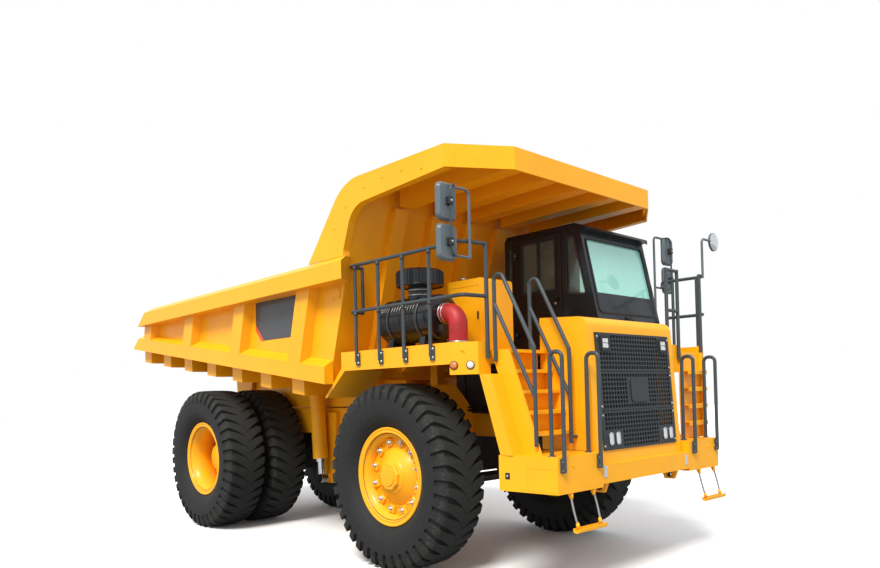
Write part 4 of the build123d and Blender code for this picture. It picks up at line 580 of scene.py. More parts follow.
def tyre_points(centre, settings):
    """Points of one tyre on a grid of angle by cross-section.

    Along a pitch the angle has samples on both lips and both feet of the groove, so its walls stay
    steep: u = -w, -0.72 w, 0, 0.72 w, w and then the block's top up to 1 - w. The half width w
    shrinks from the shoulder to the middle, and a groove's phase is sweep * (1 - |t| / 0.29)^1.6,
    plus half a pitch on one side, so that the lugs of both sides interlock.
    """
    wall = np.array(SIDEWALL)
    tread = np.array(SHOULDER)
    half = np.concatenate([np.column_stack([wall, np.zeros(len(wall))]), tread])
    profile = np.concatenate([half * (-1, 1, 1), half[::-1]])
    t, radius, share = profile.T
    width = 0.5 * settings.groove * (0.10 + 0.90 * np.clip((np.abs(t) - 0.055) / 0.16, 0, 1) ** 0.8)
    inward = np.clip(1 - np.abs(t) / 0.29, 0, 1) ** 1.6
    blend = np.clip(0.5 + t / 0.06, 0, 1)
    phase = settings.sweep * inward + 0.5 * blend * blend * (3 - 2 * blend)
    across = np.array((-1.0, -0.72, 0.0, 0.72, 1.0))
    block = np.linspace(0, 1, 9)[1:-1]
    inside = across[:, None] * width[None, :]
    top = width[None, :] + block[:, None] * (1 - 2 * width[None, :])
    u = np.concatenate([inside, top])
    sunk = np.concatenate([np.array((0.0, 1.0, 1.0, 1.0, 0.0)), np.zeros(len(block))])
    lug = np.arange(settings.lugs)
    angle = (lug[:, None, None] + u[None] + phase[None, None]) * TAU / settings.lugs
    depth = settings.depth * sunk[:, None] * share[None, :]
    reach = np.broadcast_to(radius[None, :] - depth, angle.shape[1:])[None] * np.ones((settings.lugs, 1, 1))
    slide = np.broadcast_to(t[None, :] - np.sign(t)[None, :] * depth * 0.35 * (np.abs(t) > 0.24)[None, :],
                            angle.shape[1:])[None] * np.ones((settings.lugs, 1, 1))
    points = np.stack([centre[0] + reach * np.sin(angle), centre[1] + slide,
                       centre[2] + reach * np.cos(angle)], -1)
    return points.reshape(-1, len(t), 3)


class HAUL_OT_tyres(bpy.types.Operator):
    """Six tyres with deep interlocking lugs"""

    bl_idname = "haul.tyres"
    bl_label = "Tyres"

    def execute(self, context):
        settings = context.scene.haul_tyre
        columns = 2 * (len(SIDEWALL) + len(SHOULDER)) - 1
        plain = len(SIDEWALL) - 1
        for name, x, rows, body, node, _ in WHEELS:
            for k, y in enumerate(rows):
                mesh = Mesh()
                mesh.grid(tyre_points((x, y, HUB_Z), settings), f"rubber_{'front' if x > 0 else 'rear'}",
                          wrap_u=True, smooth=False)
                piece = mesh.build(f"tyre_{name}_{k}", body, "tyre_rubber", *([node] if k == 0 else []))
                column = np.arange(len(piece.data.polygons)) % columns
                sidewall = (column < plain) | (column >= columns - plain)
                piece.data.polygons.foreach_set("use_smooth", sidewall)
        return {"FINISHED"}


# Profiles of the rims, as distance along the axle from the wheel's middle plane and radius
RIM_BARREL = (
    (0.0000, 0.4440), (0.1650, 0.4440), (0.1865, 0.4480), (0.1875, 0.5100), (0.1910, 0.5185),
    (0.1980, 0.5207), (0.2065, 0.5180), (0.2095, 0.5080), (0.2080, 0.4980), (0.2000, 0.4900),
    (0.1990, 0.4760), (0.2030, 0.4720), (0.2030, 0.4640), (0.1960, 0.4600), (0.1900, 0.4560),
    (0.1600, 0.4400), (0.1550, 0.4180), (0.0000, 0.4140),
)
FRONT_DISC = (
    (0.0, 0.416), (0.030, 0.420), (0.058, 0.424), (0.072, 0.420), (0.076, 0.410), (0.076, 0.308),
    (0.082, 0.300), (0.098, 0.290), (0.150, 0.196), (0.160, 0.186), (0.172, 0.180), (0.172, 0.0),
)
FRONT_HUB = ((-0.238, 0.0), (-0.238, 0.190), (-0.20, 0.200), (-0.02, 0.215), (-0.01, 0.40), (0.02, 0.418))
REAR_DISC = (
    (-0.172, 0.416), (-0.168, 0.395), (-0.165, 0.290), (-0.150, 0.280), (-0.090, 0.272), (-0.076, 0.260),
    (-0.070, 0.195), (-0.050, 0.188), (-0.012, 0.180), (-0.004, 0.170), (-0.002, 0.0),
)


def radial(angle):
    """A direction square to the axles, at that angle from +X."""
    return np.array((np.cos(angle), 0, np.sin(angle)))


class HAUL_OT_rims(bpy.types.Operator):
    """Rims with lock rings, wedge clamps, hubs and bolts"""

    bl_idname = "haul.rims"
    bl_label = "Rims"

    def execute(self, context):
        for name, x, rows, body, _, node in WHEELS:
            side = 1 if rows[0] > 0 else -1
            axis = (0, side, 0)
            mesh = Mesh()
            outer = np.array((x, rows[0], HUB_Z))
            for y in rows:
                self.barrel(mesh, (x, y, HUB_Z), axis)
                self.barrel(mesh, (x, y, HUB_Z), (0, -side, 0))
            if x > 0:
                self.front_disc(mesh, outer, axis)
            else:
                self.rear_disc(mesh, outer, axis)
            mesh.build(f"rim_{name}", body, "rim_paint", node)
        return {"FINISHED"}

    def barrel(self, mesh, centre, axis):
        """The half of a rim from its middle plane out to the rolled flange and its lock ring."""
        mesh.turned(RIM_BARREL, centre, axis, "rim_paint", 120)

    def front_disc(self, mesh, centre, axis):
        """Disc with twelve wedge clamps and the cone of the hub with its facetted cap."""
        mesh.turned(FRONT_DISC, centre, axis, "rim_paint", 120)
        mesh.turned(FRONT_HUB, centre, axis, "rim_paint", 96)
        cap = ((0.168, 0.150), (0.196, 0.146), (0.208, 0.136), (0.209, 0.0))
        boss = ((0.205, 0.104), (0.2175, 0.100), (0.219, 0.0))
        for profile, phase in ((cap, 0.2), (boss, 0.55)):
            mesh.turned(profile, centre, axis, "rim_paint", 9, smooth=False, phase=phase)
        wedge = round_corners([(-0.036, -0.030), (0.036, -0.030), (0.046, 0.052), (-0.046, 0.052)], 0.018)
        stud = [(0.0, 0.011), (0.020, 0.011), (0.022, 0.007), (0.022, 0.0)]
        rivet = [(0.0, 0.014), (0.010, 0.013), (0.014, 0.0)]
        along = np.asarray(axis, float)
        for k in range(12):
            angle = TAU * (k + 0.5) / 12
            out = radial(angle)
            seat = centre + along * 0.066 + out * 0.362
            mesh.prism(wedge, seat, *self.facing(along, out), 0.040, "rim_paint", 0.008)
            mesh.nut(seat + along * 0.038, axis, "zinc", 0.021, 0.022)
            mesh.turned(stud, seat + along * 0.058, axis, "zinc", 12)
            spot = centre + along * 0.074 + radial(angle + TAU / 24) * 0.318
            mesh.turned(rivet, spot, axis, "rim_paint", 14)

    def rear_disc(self, mesh, centre, axis):
        """Deep disc between the twin rims, its ring of bolts and the planetary hub."""
        mesh.turned(REAR_DISC, centre, axis, "rim_paint", 120)
        mesh.turned([(-0.45, 0.414), (-0.21, 0.414)], centre, axis, "rim_paint", 96)
        hub = [(-0.93, 0.112), (-0.93, 0.262), (-0.30, 0.270), (-0.20, 0.40)]
        mesh.turned(hub, centre, axis, "rim_paint", 96)
        along = np.asarray(axis, float)
        for k in range(20):
            angle = TAU * k / 20
            out = radial(angle)
            mesh.nut(centre - along * 0.168 + out * 0.345, axis, "zinc", 0.018, 0.024)
            seat = centre - along * 0.172 + out * 0.385
            mesh.prism(oblong(0.052, 0.044, 0.008), seat, *self.facing(along, out), 0.018, "rim_paint", 0.004)
        for k in range(10):
            angle = TAU * (k + 0.5) / 10
            out = radial(angle)
            mesh.nut(centre - along * 0.072 + out * 0.228, axis, "rim_paint", 0.014, 0.014)

    @staticmethod
    def facing(along, out):
        """Two directions of a disc's face at a spot out from its middle; their cross product points along."""
        round_about = np.cross(along, out)
        return (round_about, out) if np.dot(np.cross(round_about, out), along) > 0 else (out, round_about)


def oblong(width, height, corner=0.0, steps=4, middle=(0.0, 0.0)):
    """Outline of a rectangle about a middle, with rounded corners."""
    a, b = width / 2, height / 2
    outline = np.array([(-a, -b), (a, -b), (a, b), (-a, b)]) + np.asarray(middle)
    return round_corners(outline, corner, steps) if corner else outline


GRILLE_TOP = np.array((4.063, 0.0, 2.379))
GRILLE_FOOT = np.array((4.133, 0.0, 1.260))
GRILLE_UP = (GRILLE_TOP - GRILLE_FOOT) / np.linalg.norm(GRILLE_TOP - GRILLE_FOOT)
GRILLE_OUT = np.cross(LEFT, GRILLE_UP)
GRILLE_MIDDLE = (GRILLE_TOP + GRILLE_FOOT) / 2 + np.array((0.009, 0.0, 0.0))
GRILLE_HALF_WIDTH = 0.6575
PANEL_HEIGHT = np.linalg.norm(GRILLE_TOP - GRILLE_FOOT) / 3
GRILLE_FRAME_Y = GRILLE_HALF_WIDTH - 0.018
GRILLE_FLAT = (LEFT, GRILLE_UP)
MESH_COLUMNS, MESH_ROWS = 26, 8
MESH_PITCH = (0.0475, 0.0425)
LAMP_SPOT = (0.525, 1.22 * PANEL_HEIGHT)
FOG_SPOTS = ((0.430, -1.21 * PANEL_HEIGHT), (0.545, -1.21 * PANEL_HEIGHT))
# Parts of the grille without holes, behind the plate and the lamps: middle across and up, width, height
PLAIN_PATCHES = ((0.0, 0.0, 0.40, 0.26),
                 *((way * LAMP_SPOT[0], LAMP_SPOT[1], 0.21, 0.18) for way in SIDES),
                 *((way * 0.49, FOG_SPOTS[0][1], 0.28, 0.16) for way in SIDES))


def on_grille(across, up, lift=0.0):
    """A point on the grille's slanted face."""
    return GRILLE_MIDDLE + np.array((0.0, across, 0.0)) + up * GRILLE_UP + lift * GRILLE_OUT


class HAUL_OT_grille(bpy.types.Operator):
    """Three finely perforated panels in one frame, with a bare plate"""

    bl_idname = "haul.grille"
    bl_label = "Grille"

    def execute(self, context):
        mesh = Mesh()
        half_mesh = MESH_COLUMNS * MESH_PITCH[0] / 2
        columns = np.concatenate([[-GRILLE_HALF_WIDTH], np.linspace(-half_mesh, half_mesh, MESH_COLUMNS + 1),
                                  [GRILLE_HALF_WIDTH]])
        for level in (1, 0, -1):
            middle = level * PANEL_HEIGHT
            half_panel = PANEL_HEIGHT / 2 - 0.004
            half_rows = MESH_ROWS * MESH_PITCH[1] / 2
            rows = middle + np.concatenate([[-half_panel], np.linspace(-half_rows, half_rows, MESH_ROWS + 1),
                                            [half_panel]])
            cu, cv = np.meshgrid((columns[1:] + columns[:-1]) / 2, (rows[1:] + rows[:-1]) / 2, indexing="ij")
            holes = (np.abs(cu) < half_mesh) & (np.abs(cv - middle) < half_rows)
            for across, up, width, height in PLAIN_PATCHES:
                holes &= ~((np.abs(cu - across) < width / 2) & (np.abs(cv - up) < height / 2))
            mesh.perforated(columns, rows, holes, 0.70, on_grille(0, 0), *GRILLE_FLAT, 0.010, "grille")
            for way in SIDES:
                for up in (middle - 0.145, middle + 0.145):
                    mesh.nut(on_grille(way * GRILLE_FRAME_Y, up, -0.001), GRILLE_OUT, "zinc", 0.0085, 0.007)
        for up, height in ((1.5, 0.030), (0.5, 0.034), (-0.5, 0.034), (-1.5, 0.030)):
            middle = up * PANEL_HEIGHT - np.sign(up) * (0.017 if abs(up) > 1 else 0.0)
            mesh.prism(oblong(2 * GRILLE_HALF_WIDTH - 0.002, height), on_grille(0, middle, -0.024),
                       *GRILLE_FLAT, 0.013, "grille", 0.002)
        for way in SIDES:
            mesh.prism(oblong(0.034, 3 * PANEL_HEIGHT - 0.008), on_grille(way * GRILLE_FRAME_Y, 0, -0.024),
                       *GRILLE_FLAT, 0.0135, "grille", 0.002)
        mesh.prism(oblong(0.270, 0.235, 0.040), on_grille(0, 0, -0.0005), *GRILLE_FLAT, 0.013,
                   "grille", 0.005)
        mesh.build("grille_mesh", "chassis", "grille_paint", "grille")
        return {"FINISHED"}


DECK_CORNER_OUT = (0.150, -0.230, 0.0)
BUMPER_FACE_X = 4.209


class HAUL_OT_lamps(bpy.types.Operator):
    """Square lamps with four bright cells, upright oval lamps, corner markers and reflectors"""

    bl_idname = "haul.lamps"
    bl_label = "Lamps"

    def execute(self, context):
        mesh = Mesh()
        for way in SIDES:
            across, up = way * LAMP_SPOT[0], LAMP_SPOT[1]
            place = on_grille(across, up, 0.0003)
            mesh.ring(oblong(0.150, 0.150, 0.022), oblong(0.100, 0.100, 0.012), place, *GRILLE_FLAT,
                      0.016, "plastic")
            mesh.prism(oblong(0.101, 0.101, 0.012), place, *GRILLE_FLAT, 0.004, "plastic")
            for du in (-0.0245, 0.0245):
                for dv in (-0.0245, 0.0245):
                    mesh.prism(oblong(0.045, 0.045, 0.010), on_grille(across + du, up + dv, 0.004),
                               *GRILLE_FLAT, 0.010, "lamp", 0.003)
            for spot, up in FOG_SPOTS:
                outer, inner = oblong(0.072, 0.120, 0.034, 8), oblong(0.056, 0.104, 0.026, 8)
                place = on_grille(way * spot, up, 0.0003)
                mesh.ring(outer, inner, place, *GRILLE_FLAT, 0.013, "chrome")
                mesh.prism(inner, place, *GRILLE_FLAT, 0.012, "lamp", 0.005)
        out = np.array(DECK_CORNER_OUT) / np.linalg.norm(DECK_CORNER_OUT)
        for place, lens in (((3.164, -1.6375, 2.092), "amber"), ((3.2965, -1.5505, 2.092), "lamp")):
            seat = np.array(place) + 0.0004 * out
            housing = [(0.0, 0.0), (0.0, 0.040), (0.008, 0.0405), (0.011, 0.037), (0.011, 0.033)]
            dome = [(0.006, 0.034), (0.012, 0.0335), (0.017, 0.024), (0.0185, 0.010), (0.0185, 0.0)]
            mesh.turned(housing, seat, out, "plastic", 40)
            mesh.turned(dome, seat, out, lens, 40)
        mesh.build("lamp_set", "chassis", "lamp_lens", "lamps")
        mesh = Mesh()
        for y, z in ((-0.753, 1.084), (0.730, 1.070)):
            mesh.prism(oblong(0.052, 0.105, 0.004), (BUMPER_FACE_X + 0.0002, y, z), LEFT, UP, 0.005,
                       "reflector", 0.0015)
        mesh.build("bumper_reflectors", "chassis", "lamp_lens")
        return {"FINISHED"}


SCREEN_MIDDLE = np.array((3.374, CAB_MIDDLE_Y, 3.105))
SCREEN_UP = np.array((-0.212, 0.0, 0.990)) / np.hypot(0.212, 0.990)
SCREEN_SIZE = (1.130, 0.850)
SCREEN_GLASS_X = 3.240
CAB_RIGHT_Y, CAB_LEFT_Y = 0.250, 1.530
DOOR_WINDOW = ((2.420, 2.980), (2.910, 2.980), (2.910, 3.580), (2.420, 3.580))
QUARTER_WINDOW = ((3.080, 2.930), (3.330, 2.900), (3.180, 3.560), (3.080, 3.560))
REAR_WINDOW = ((2.190, 3.120), (2.265, 3.120), (2.265, 3.560), (2.190, 3.560))
LEFT_WINDOW = ((2.260, 2.930), (3.330, 2.900), (3.180, 3.560), (2.260, 3.560))


def seal(mesh, outline, plane_y, out):
    """A rubber seal that laps over the rim of a side window; out is -1 on the right of the truck."""
    flat = np.array(outline) * (-out, 1)
    if out > 0:
        flat = flat[::-1]
    rim = round_corners(flat, 0.030, 6)
    origin, u = (0, plane_y, 0), (-out, 0, 0)
    mesh.ring(shrink(rim, -0.016), shrink(rim, 0.005), origin, u, UP, 0.007, "plastic")


class HAUL_OT_cab(bpy.types.Operator):
    """Seals, sliding panes, wiper, lower screen panel, door fittings and the roof's gutter"""

    bl_idname = "haul.cab"
    bl_label = "Cab trim"

    def execute(self, context):
        mesh = Mesh()
        out = np.cross(LEFT, SCREEN_UP)
        flat = (LEFT, SCREEN_UP)
        width, height = SCREEN_SIZE
        mesh.ring(oblong(width + 0.036, height + 0.036, 0.070, 8),
                  oblong(width - 0.012, height - 0.012, 0.050, 8), SCREEN_MIDDLE, *flat, 0.009, "plastic")
        panel_low, panel_high = -height / 2 - 0.004, -0.205
        mesh.prism(oblong(width + 0.010, panel_high - panel_low, 0.020, 4, (0, (panel_low + panel_high) / 2)),
                   SCREEN_MIDDLE - 0.012 * out, *flat, 0.018, "black", 0.003)
        self.wiper(mesh)
        seal(mesh, QUARTER_WINDOW, CAB_RIGHT_Y, -1)
        seal(mesh, REAR_WINDOW, CAB_RIGHT_Y, -1)
        seal(mesh, LEFT_WINDOW, CAB_LEFT_Y, 1)
        gutter = bent([(2.180, 0, 3.6685), (3.180, 0, 3.6685), (3.300, 0, 3.6250), (3.335, 0, 3.600)], 0.06)
        for y, out_way in ((CAB_RIGHT_Y, -1), (CAB_LEFT_Y, 1)):
            mesh.pipe(gutter + np.array((0, y + out_way * 0.004, 0)), 0.009, "black", 10)
        for way in SIDES:
            y = CAB_MIDDLE_Y + way * 0.565
            mesh.pipe([(3.4865, y, 2.262), (3.4865, y, 2.600)], 0.006, "black", 8)
        for x, z in ((2.215, 2.330), (2.215, 2.900), (3.060, 2.330), (3.430, 2.330)):
            mesh.nut((x, CAB_RIGHT_Y, z), (0, -1, 0), "black", 0.010, 0.008)
        mesh.block((2.42, 0.60, 3.700), (2.72, 1.18, 3.716), "black", 0.006)
        mesh.build("cab_trim", "chassis", "cab_paint")
        self.door()
        return {"FINISHED"}

    def wiper(self, mesh):
        """A boss under the screen, a sprung arm to the truck's left and a blade in its claws."""
        root = np.array((3.4830, 0.830, 2.640))
        tip = np.array((3.5080, 1.250, 2.480))
        way = (tip - root) / np.linalg.norm(tip - root)
        mesh.turned([(-0.02, 0.022), (0.012, 0.022), (0.020, 0.018), (0.024, 0.0)], root,
                    (1, 0, 0.2), "plastic", 20)
        mesh.pipe([root + (0.018, 0, 0), root + way * 0.10 + (0.020, 0, 0), tip + (0.004, 0, 0)],
                  0.0065, "plastic", 8)
        for lift in (-0.006, 0.006):
            side = np.cross(way, (1.0, 0, 0)) * lift
            mesh.pipe([root + way * 0.06 + (0.016, 0, 0) + side, root + way * 0.22 + (0.018, 0, 0) + side],
                      0.003, "plastic", 6)
        low, high = tip - way * 0.26, tip + way * 0.16
        mesh.pipe([low, high], 0.007, "plastic", 8)
        mesh.pipe([low - (0.008, 0, 0), high - (0.008, 0, 0)], 0.004, "plastic", 6)

    def door(self):
        """The door's window seal, its two panes' frames, and the lock."""
        mesh = Mesh()
        seal(mesh, DOOR_WINDOW, CAB_RIGHT_Y, -1)
        (low_x, low_z), _, (high_x, high_z), _ = DOOR_WINDOW
        middle = (low_x + high_x) / 2
        y = CAB_RIGHT_Y + 0.004
        for x in (middle - 0.014, middle + 0.014):
            mesh.block((x - 0.010, y, low_z + 0.004), (x + 0.010, y + 0.007, high_z - 0.004),
                       "plastic", 0.002)
        for z in (low_z + 0.010, high_z - 0.010):
            mesh.block((low_x + 0.004, y, z - 0.009), (high_x - 0.004, y + 0.007, z + 0.009),
                       "plastic", 0.002)
        mesh.turned([(-0.002, 0.016), (0.005, 0.016), (0.007, 0.012), (0.007, 0.0)],
                    (2.905, CAB_RIGHT_Y, 2.830), (0, -1, 0), "zinc", 24)
        rim = round_corners(((2.312, 2.298), (2.998, 2.298), (2.998, 3.622), (2.312, 3.622)), 0.045, 6)
        mesh.ring(shrink(rim, 0.004), shrink(rim, 0.016), (0, CAB_RIGHT_Y, 0), AHEAD, UP, 0.004, "plastic")
        for z in (2.450, 3.400):
            for x in (2.322, 2.340):
                for dz in (0.048, 0.072):
                    mesh.nut((x, CAB_RIGHT_Y - 0.020, z + dz), (0, -1, 0), "zinc", 0.005, 0.004, washer=False)
        mesh.build("door_trim", "cab_door", "dark_plastic")


CLEANER = np.array((1.850, -1.300, 2.610))
CLEANER_RADIUS = 0.235
CAP_MIDDLE = np.array((2.330, -1.300, 0.0))
ELBOW_PLACE = (2.910, -1.320, 2.640)


class HAUL_OT_intake(bpy.types.Operator):
    """Ribs, clamps and the rain cap's slats of the air cleaner, with the hose's bands"""

    bl_idname = "haul.intake"
    bl_label = "Air intake"

    def execute(self, context):
        mesh = Mesh()
        low = CLEANER_RADIUS - 0.003
        for half, crest, run in ((0.006, 0.004, np.linspace(0.060, 0.172, 5)),
                                 (0.010, 0.005, np.linspace(0.262, 0.600, 9))):
            high = CLEANER_RADIUS + crest
            rib = [(-half, low), (-half / 2, high), (half / 2, high), (half, low)]
            for along in run:
                mesh.turned(rib, CLEANER + (along, 0, 0), AHEAD, "enamel", 72)
        for along in (0.190, 0.640):
            self.band(mesh, CLEANER + (along + 0.020, 0, 0), AHEAD, CLEANER_RADIUS + 0.0075, 0.016, "grey")
        for z in (2.862, 2.915):
            self.band(mesh, CAP_MIDDLE + (0, 0, z), UP, 0.129, 0.009, "clamp")
        for k in range(32):
            angle = TAU * (k + 0.5) / 32
            edge = 0.2475 if k % 2 else 0.2465
            spot = CAP_MIDDLE + (edge * np.cos(angle), edge * np.sin(angle), 2.966)
            mesh.pipe([spot, spot + (0, 0, 0.132)], 0.0065, "enamel", 6)
        mesh.turned([(0.0, 0.236), (0.004, 0.252), (0.012, 0.253), (0.015, 0.240)],
                    CAP_MIDDLE + (0, 0, 2.952), UP, "enamel", 64)
        mesh.nut(CAP_MIDDLE + (0, 0, 3.118), UP, "zinc", 0.012, 0.016)
        mesh.build("air_cleaner_trim", "chassis", "black_enamel")
        mesh = Mesh()
        elbow_x, elbow_y, elbow_z = ELBOW_PLACE
        for x in (2.720, 2.760):
            self.band(mesh, (x, elbow_y, elbow_z), AHEAD, 0.1025, 0.009, "clamp")
        for z in (2.298, 2.338):
            self.band(mesh, (elbow_x, elbow_y, z), UP, 0.1025, 0.009, "clamp")
        collar = [(0.0, 0.104), (0.006, 0.106), (0.010, 0.0975), (0.052, 0.0970)]
        mesh.turned(collar, (elbow_x, elbow_y, 2.231), UP, "clamp", 64)
        mesh.build("hose_bands", "chassis", "chrome_rod")
        return {"FINISHED"}

    def band(self, mesh, place, axis, radius, half, material):
        """A clamp band with its screw housing."""
        place = np.asarray(place, float)
        mesh.turned([(-half, radius - 0.004), (-half, radius), (half, radius), (half, radius - 0.004)], place,
                    axis, material, 72)
        _, side, up = basis(axis)
        spot = place + side * (radius + 0.004)
        mesh.pipe([spot - up * 0.018, spot + up * 0.018], 0.0055, "zinc", 8)


RAIL_Y = 1.6793
RAIL_BOLT_ZS = (2.180, 2.262)
DECK_Z = 2.2295
CABINET_Y = -1.045
STAIR_RISE, STAIR_TOP_X, STAIR_LEAN = 0.193, 3.3603, 0.3935
LADDER_FOOT_Z, LADDER_RISE = 1.265, 0.190
# Parts of the right deck under the air cleaner, the cabinet and the elbow: x from and to, y from and to
DECK_COVERED = ((1.835, 2.715, -1.54, -1.06), (2.42, 3.05, -1.10, -0.55), (2.76, 3.06, -1.47, -1.17))


class HAUL_OT_fittings(bpy.types.Operator):
    """Bolts, brackets and plates of decks, rails, ladder, bumper and cabinet"""

    bl_idname = "haul.fittings"
    bl_label = "Fittings"

    def execute(self, context):
        self.railings()
        self.decks()
        self.cabinet()
        self.bumper()
        self.tank()
        return {"FINISHED"}

    def railings(self):
        """Two pale bolts in each foot bracket, clips where the middle rail meets a post, and end caps."""
        mesh = Mesh()
        clip = [(-0.020, 0.020), (-0.020, 0.0215), (0.020, 0.0215), (0.020, 0.020)]
        for x in (1.709, 2.103, 2.497, 2.891):
            for z in RAIL_BOLT_ZS:
                mesh.nut((x + 0.030, -RAIL_Y, z), (0, -1, 0), "zinc", 0.0085, 0.008)
            for z in (2.705, 3.198):
                mesh.turned(clip, (x, -RAIL_Y, z), UP, "grey", 20)
        for x in (3.580, 3.890):
            for z in RAIL_BOLT_ZS:
                mesh.nut((x + 0.030, RAIL_Y, z), LEFT, "zinc", 0.0085, 0.008)
        cap = [(-0.001, 0.0195), (0.003, 0.0195), (0.006, 0.012), (0.006, 0.0)]
        for place in ((3.3803, -1.400, 3.240), (3.9803, 1.568, 3.140), (3.9803, 0.820, 3.140),
                      (3.9803, 1.055, 3.140)):
            mesh.turned(cap, place, UP, "plastic", 16)
        for y in (-1.390, -0.855, 0.890, 1.390):
            for way in SIDES:
                for z in (1.152, 1.226):
                    mesh.nut((4.2330, y + way * 0.0235, z), AHEAD, "zinc", 0.0065, 0.006, washer=False)
            mesh.turned([(0.0, 0.034), (0.006, 0.034), (0.010, 0.022)], (4.100, y, 1.2652), UP, "grey", 28)
        for z in (1.430, 2.030):
            for x in (3.972, 3.990):
                mesh.nut((x, 1.5725, z), LEFT, "zinc", 0.006, 0.006, washer=False)
        curl = [(x, RAIL_Y, z) for x, z in ((3.520, 3.128), (3.440, 3.128), (3.440, 3.060), (3.500, 3.050))]
        mesh.pipe(bent(curl, 0.035), 0.019, "grey", 12)
        mesh.build("rail_fittings", "chassis", "grey_steel")

    def decks(self):
        """A bolted plate over the ladder, and cleats on the ladder, the stairs and the right deck."""
        mesh = Mesh()
        mesh.block((3.9602, 1.150, 2.125), (3.9662, 1.470, 2.205), "yellow", 0.002)
        for y in (1.185, 1.268, 1.352, 1.435):
            mesh.nut((3.9660, y, 2.165), AHEAD, "zinc", 0.010, 0.009)
        for k in range(4):
            z = LADDER_FOOT_Z + (k + 1) * LADDER_RISE - 0.0005
            for y in np.linspace(1.125, 1.495, 9):
                self.cleat(mesh, (3.985, 4.055), (y - 0.008, y + 0.008), z)
        for k in range(5):
            drop = k * STAIR_RISE
            back = STAIR_TOP_X + drop * STAIR_LEAN
            for y in np.linspace(-1.280, -0.800, 12):
                self.cleat(mesh, (back + 0.030, back + 0.175), (y - 0.008, y + 0.008), DECK_Z - drop)
        for x in np.arange(1.480, 3.30, 0.16):
            for y in np.arange(-1.600, -0.66, 0.16):
                if not any(x0 < x < x1 and y0 < y < y1 for x0, x1, y0, y1 in DECK_COVERED):
                    self.cleat(mesh, (x - 0.030, x + 0.030), (y - 0.0045, y + 0.0045), DECK_Z, 0.0015)
                    self.cleat(mesh, (x + 0.050, x + 0.059), (y + 0.0455, y + 0.105), DECK_Z, 0.0015)
        mesh.build("deck_fittings", "chassis", "yellow_paint")

    def cleat(self, mesh, x_span, y_span, z, bevel=0.002):
        """A low bar that gives grip on a tread."""
        mesh.block((x_span[0], y_span[0], z), (x_span[1], y_span[1], z + 0.0045), "yellow", bevel)

    def cabinet(self):
        """A door with hinges and latch on the deck cabinet, two breather caps and a dipstick tube."""
        mesh = Mesh()
        rim = oblong(0.450, 0.640, 0.030, 4, (2.735, 2.620))
        mesh.ring(rim, shrink(rim, 0.012), (0, CABINET_Y, 0), AHEAD, UP, 0.004, "yellow")
        for z in (2.400, 2.840):
            x, y = 2.520, CABINET_Y - 0.005
            mesh.pipe([(x, y, z - 0.030), (x, y, z + 0.030)], 0.008, "yellow", 10)
        proud = CABINET_Y - 0.011
        mesh.block((2.915, proud, 2.580), (2.935, CABINET_Y, 2.660), "plastic", 0.003)
        cap = [(-0.002, 0.018), (0.020, 0.018), (0.022, 0.026), (0.044, 0.027), (0.052, 0.018), (0.053, 0.0)]
        for y in (-0.924, -0.741):
            mesh.turned(cap, (2.600, y, 3.000), UP, "zinc", 28)
        dipstick = [(2.560, CABINET_Y - 0.003, 2.700), (2.560, proud, 2.720), (2.560, proud, 2.860)]
        mesh.pipe(dipstick, 0.006, "zinc", 8)
        mesh.build("cabinet_fittings", "chassis", "yellow_paint")

    def bumper(self):
        """Bolts on the face; at each side a seam, a tow pin, a weld bead and a hatch with latch and lock."""
        mesh = Mesh()
        for y in (-1.300, 1.300):
            for dy in (-0.060, 0.060):
                mesh.nut((BUMPER_FACE_X, y + dy, 1.180), AHEAD, "yellow", 0.010, 0.008)
        x, y, z = 3.577, 1.5002, 1.081
        back, across = 0.99714, 0.07573
        for way in SIDES:
            mesh.block((BUMPER_FACE_X - 0.0002, way * 0.786, 0.978),
                       (BUMPER_FACE_X + 0.0025, way * 0.794, 1.148), "yellow", 0.001)
            mesh.turned([(-0.034, 0.023), (0.034, 0.023)], (4.074, way * 0.640, 0.918), LEFT, "plastic", 20)
            mesh.block((3.600, way * 1.440, 1.2645), (4.150, way * 1.425, 1.2675), "yellow", 0.001)
            side = ((x, way * y, 0), (-way * back, across, 0), UP)
            hatch = oblong(0.318, 0.200, 0.012, 4, (-way * 0.470, 1.064))
            mesh.ring(hatch, shrink(hatch, 0.005), *side, 0.002, "yellow")
            mesh.prism(oblong(0.052, 0.058, 0.008, 4, (-way * 0.096, z)), *side, 0.004, "plastic", 0.001)
            lock = [(-0.002, 0.011), (0.008, 0.011), (0.010, 0.008), (0.010, 0.0)]
            place = (x + 0.096 * back, way * (y + 0.003 - 0.096 * across), z)
            mesh.turned(lock, place, (0, way, 0), "zinc", 16)
        mesh.build("bumper_fittings", "chassis", "yellow_paint")

    def tank(self):
        """Filler cap, sight gauge and two strap bands of the fuel tank."""
        mesh = Mesh()
        cap = [(-0.004, 0.050), (0.020, 0.050), (0.024, 0.058), (0.050, 0.058), (0.056, 0.046), (0.056, 0.0)]
        mesh.turned(cap, (0.520, 1.020, 1.480), UP, "plastic", 36)
        for x in (-0.250, 0.450):
            band = [(x, y, z) for y, z in ((0.480, 1.4815), (1.1815, 1.4815), (1.1815, 0.7185),
                                           (0.480, 0.7185))]
            mesh.pipe(bent(band, 0.092, 10), 0.010, "yellow", 8)
        mesh.block((-0.052, 1.179, 0.900), (-0.028, 1.187, 1.300), "plastic", 0.003)
        for z in (0.880, 1.320):
            mesh.nut((-0.040, 1.179, z), LEFT, "zinc", 0.014, 0.012)
        mesh.build("tank_fittings", "chassis", "yellow_paint")


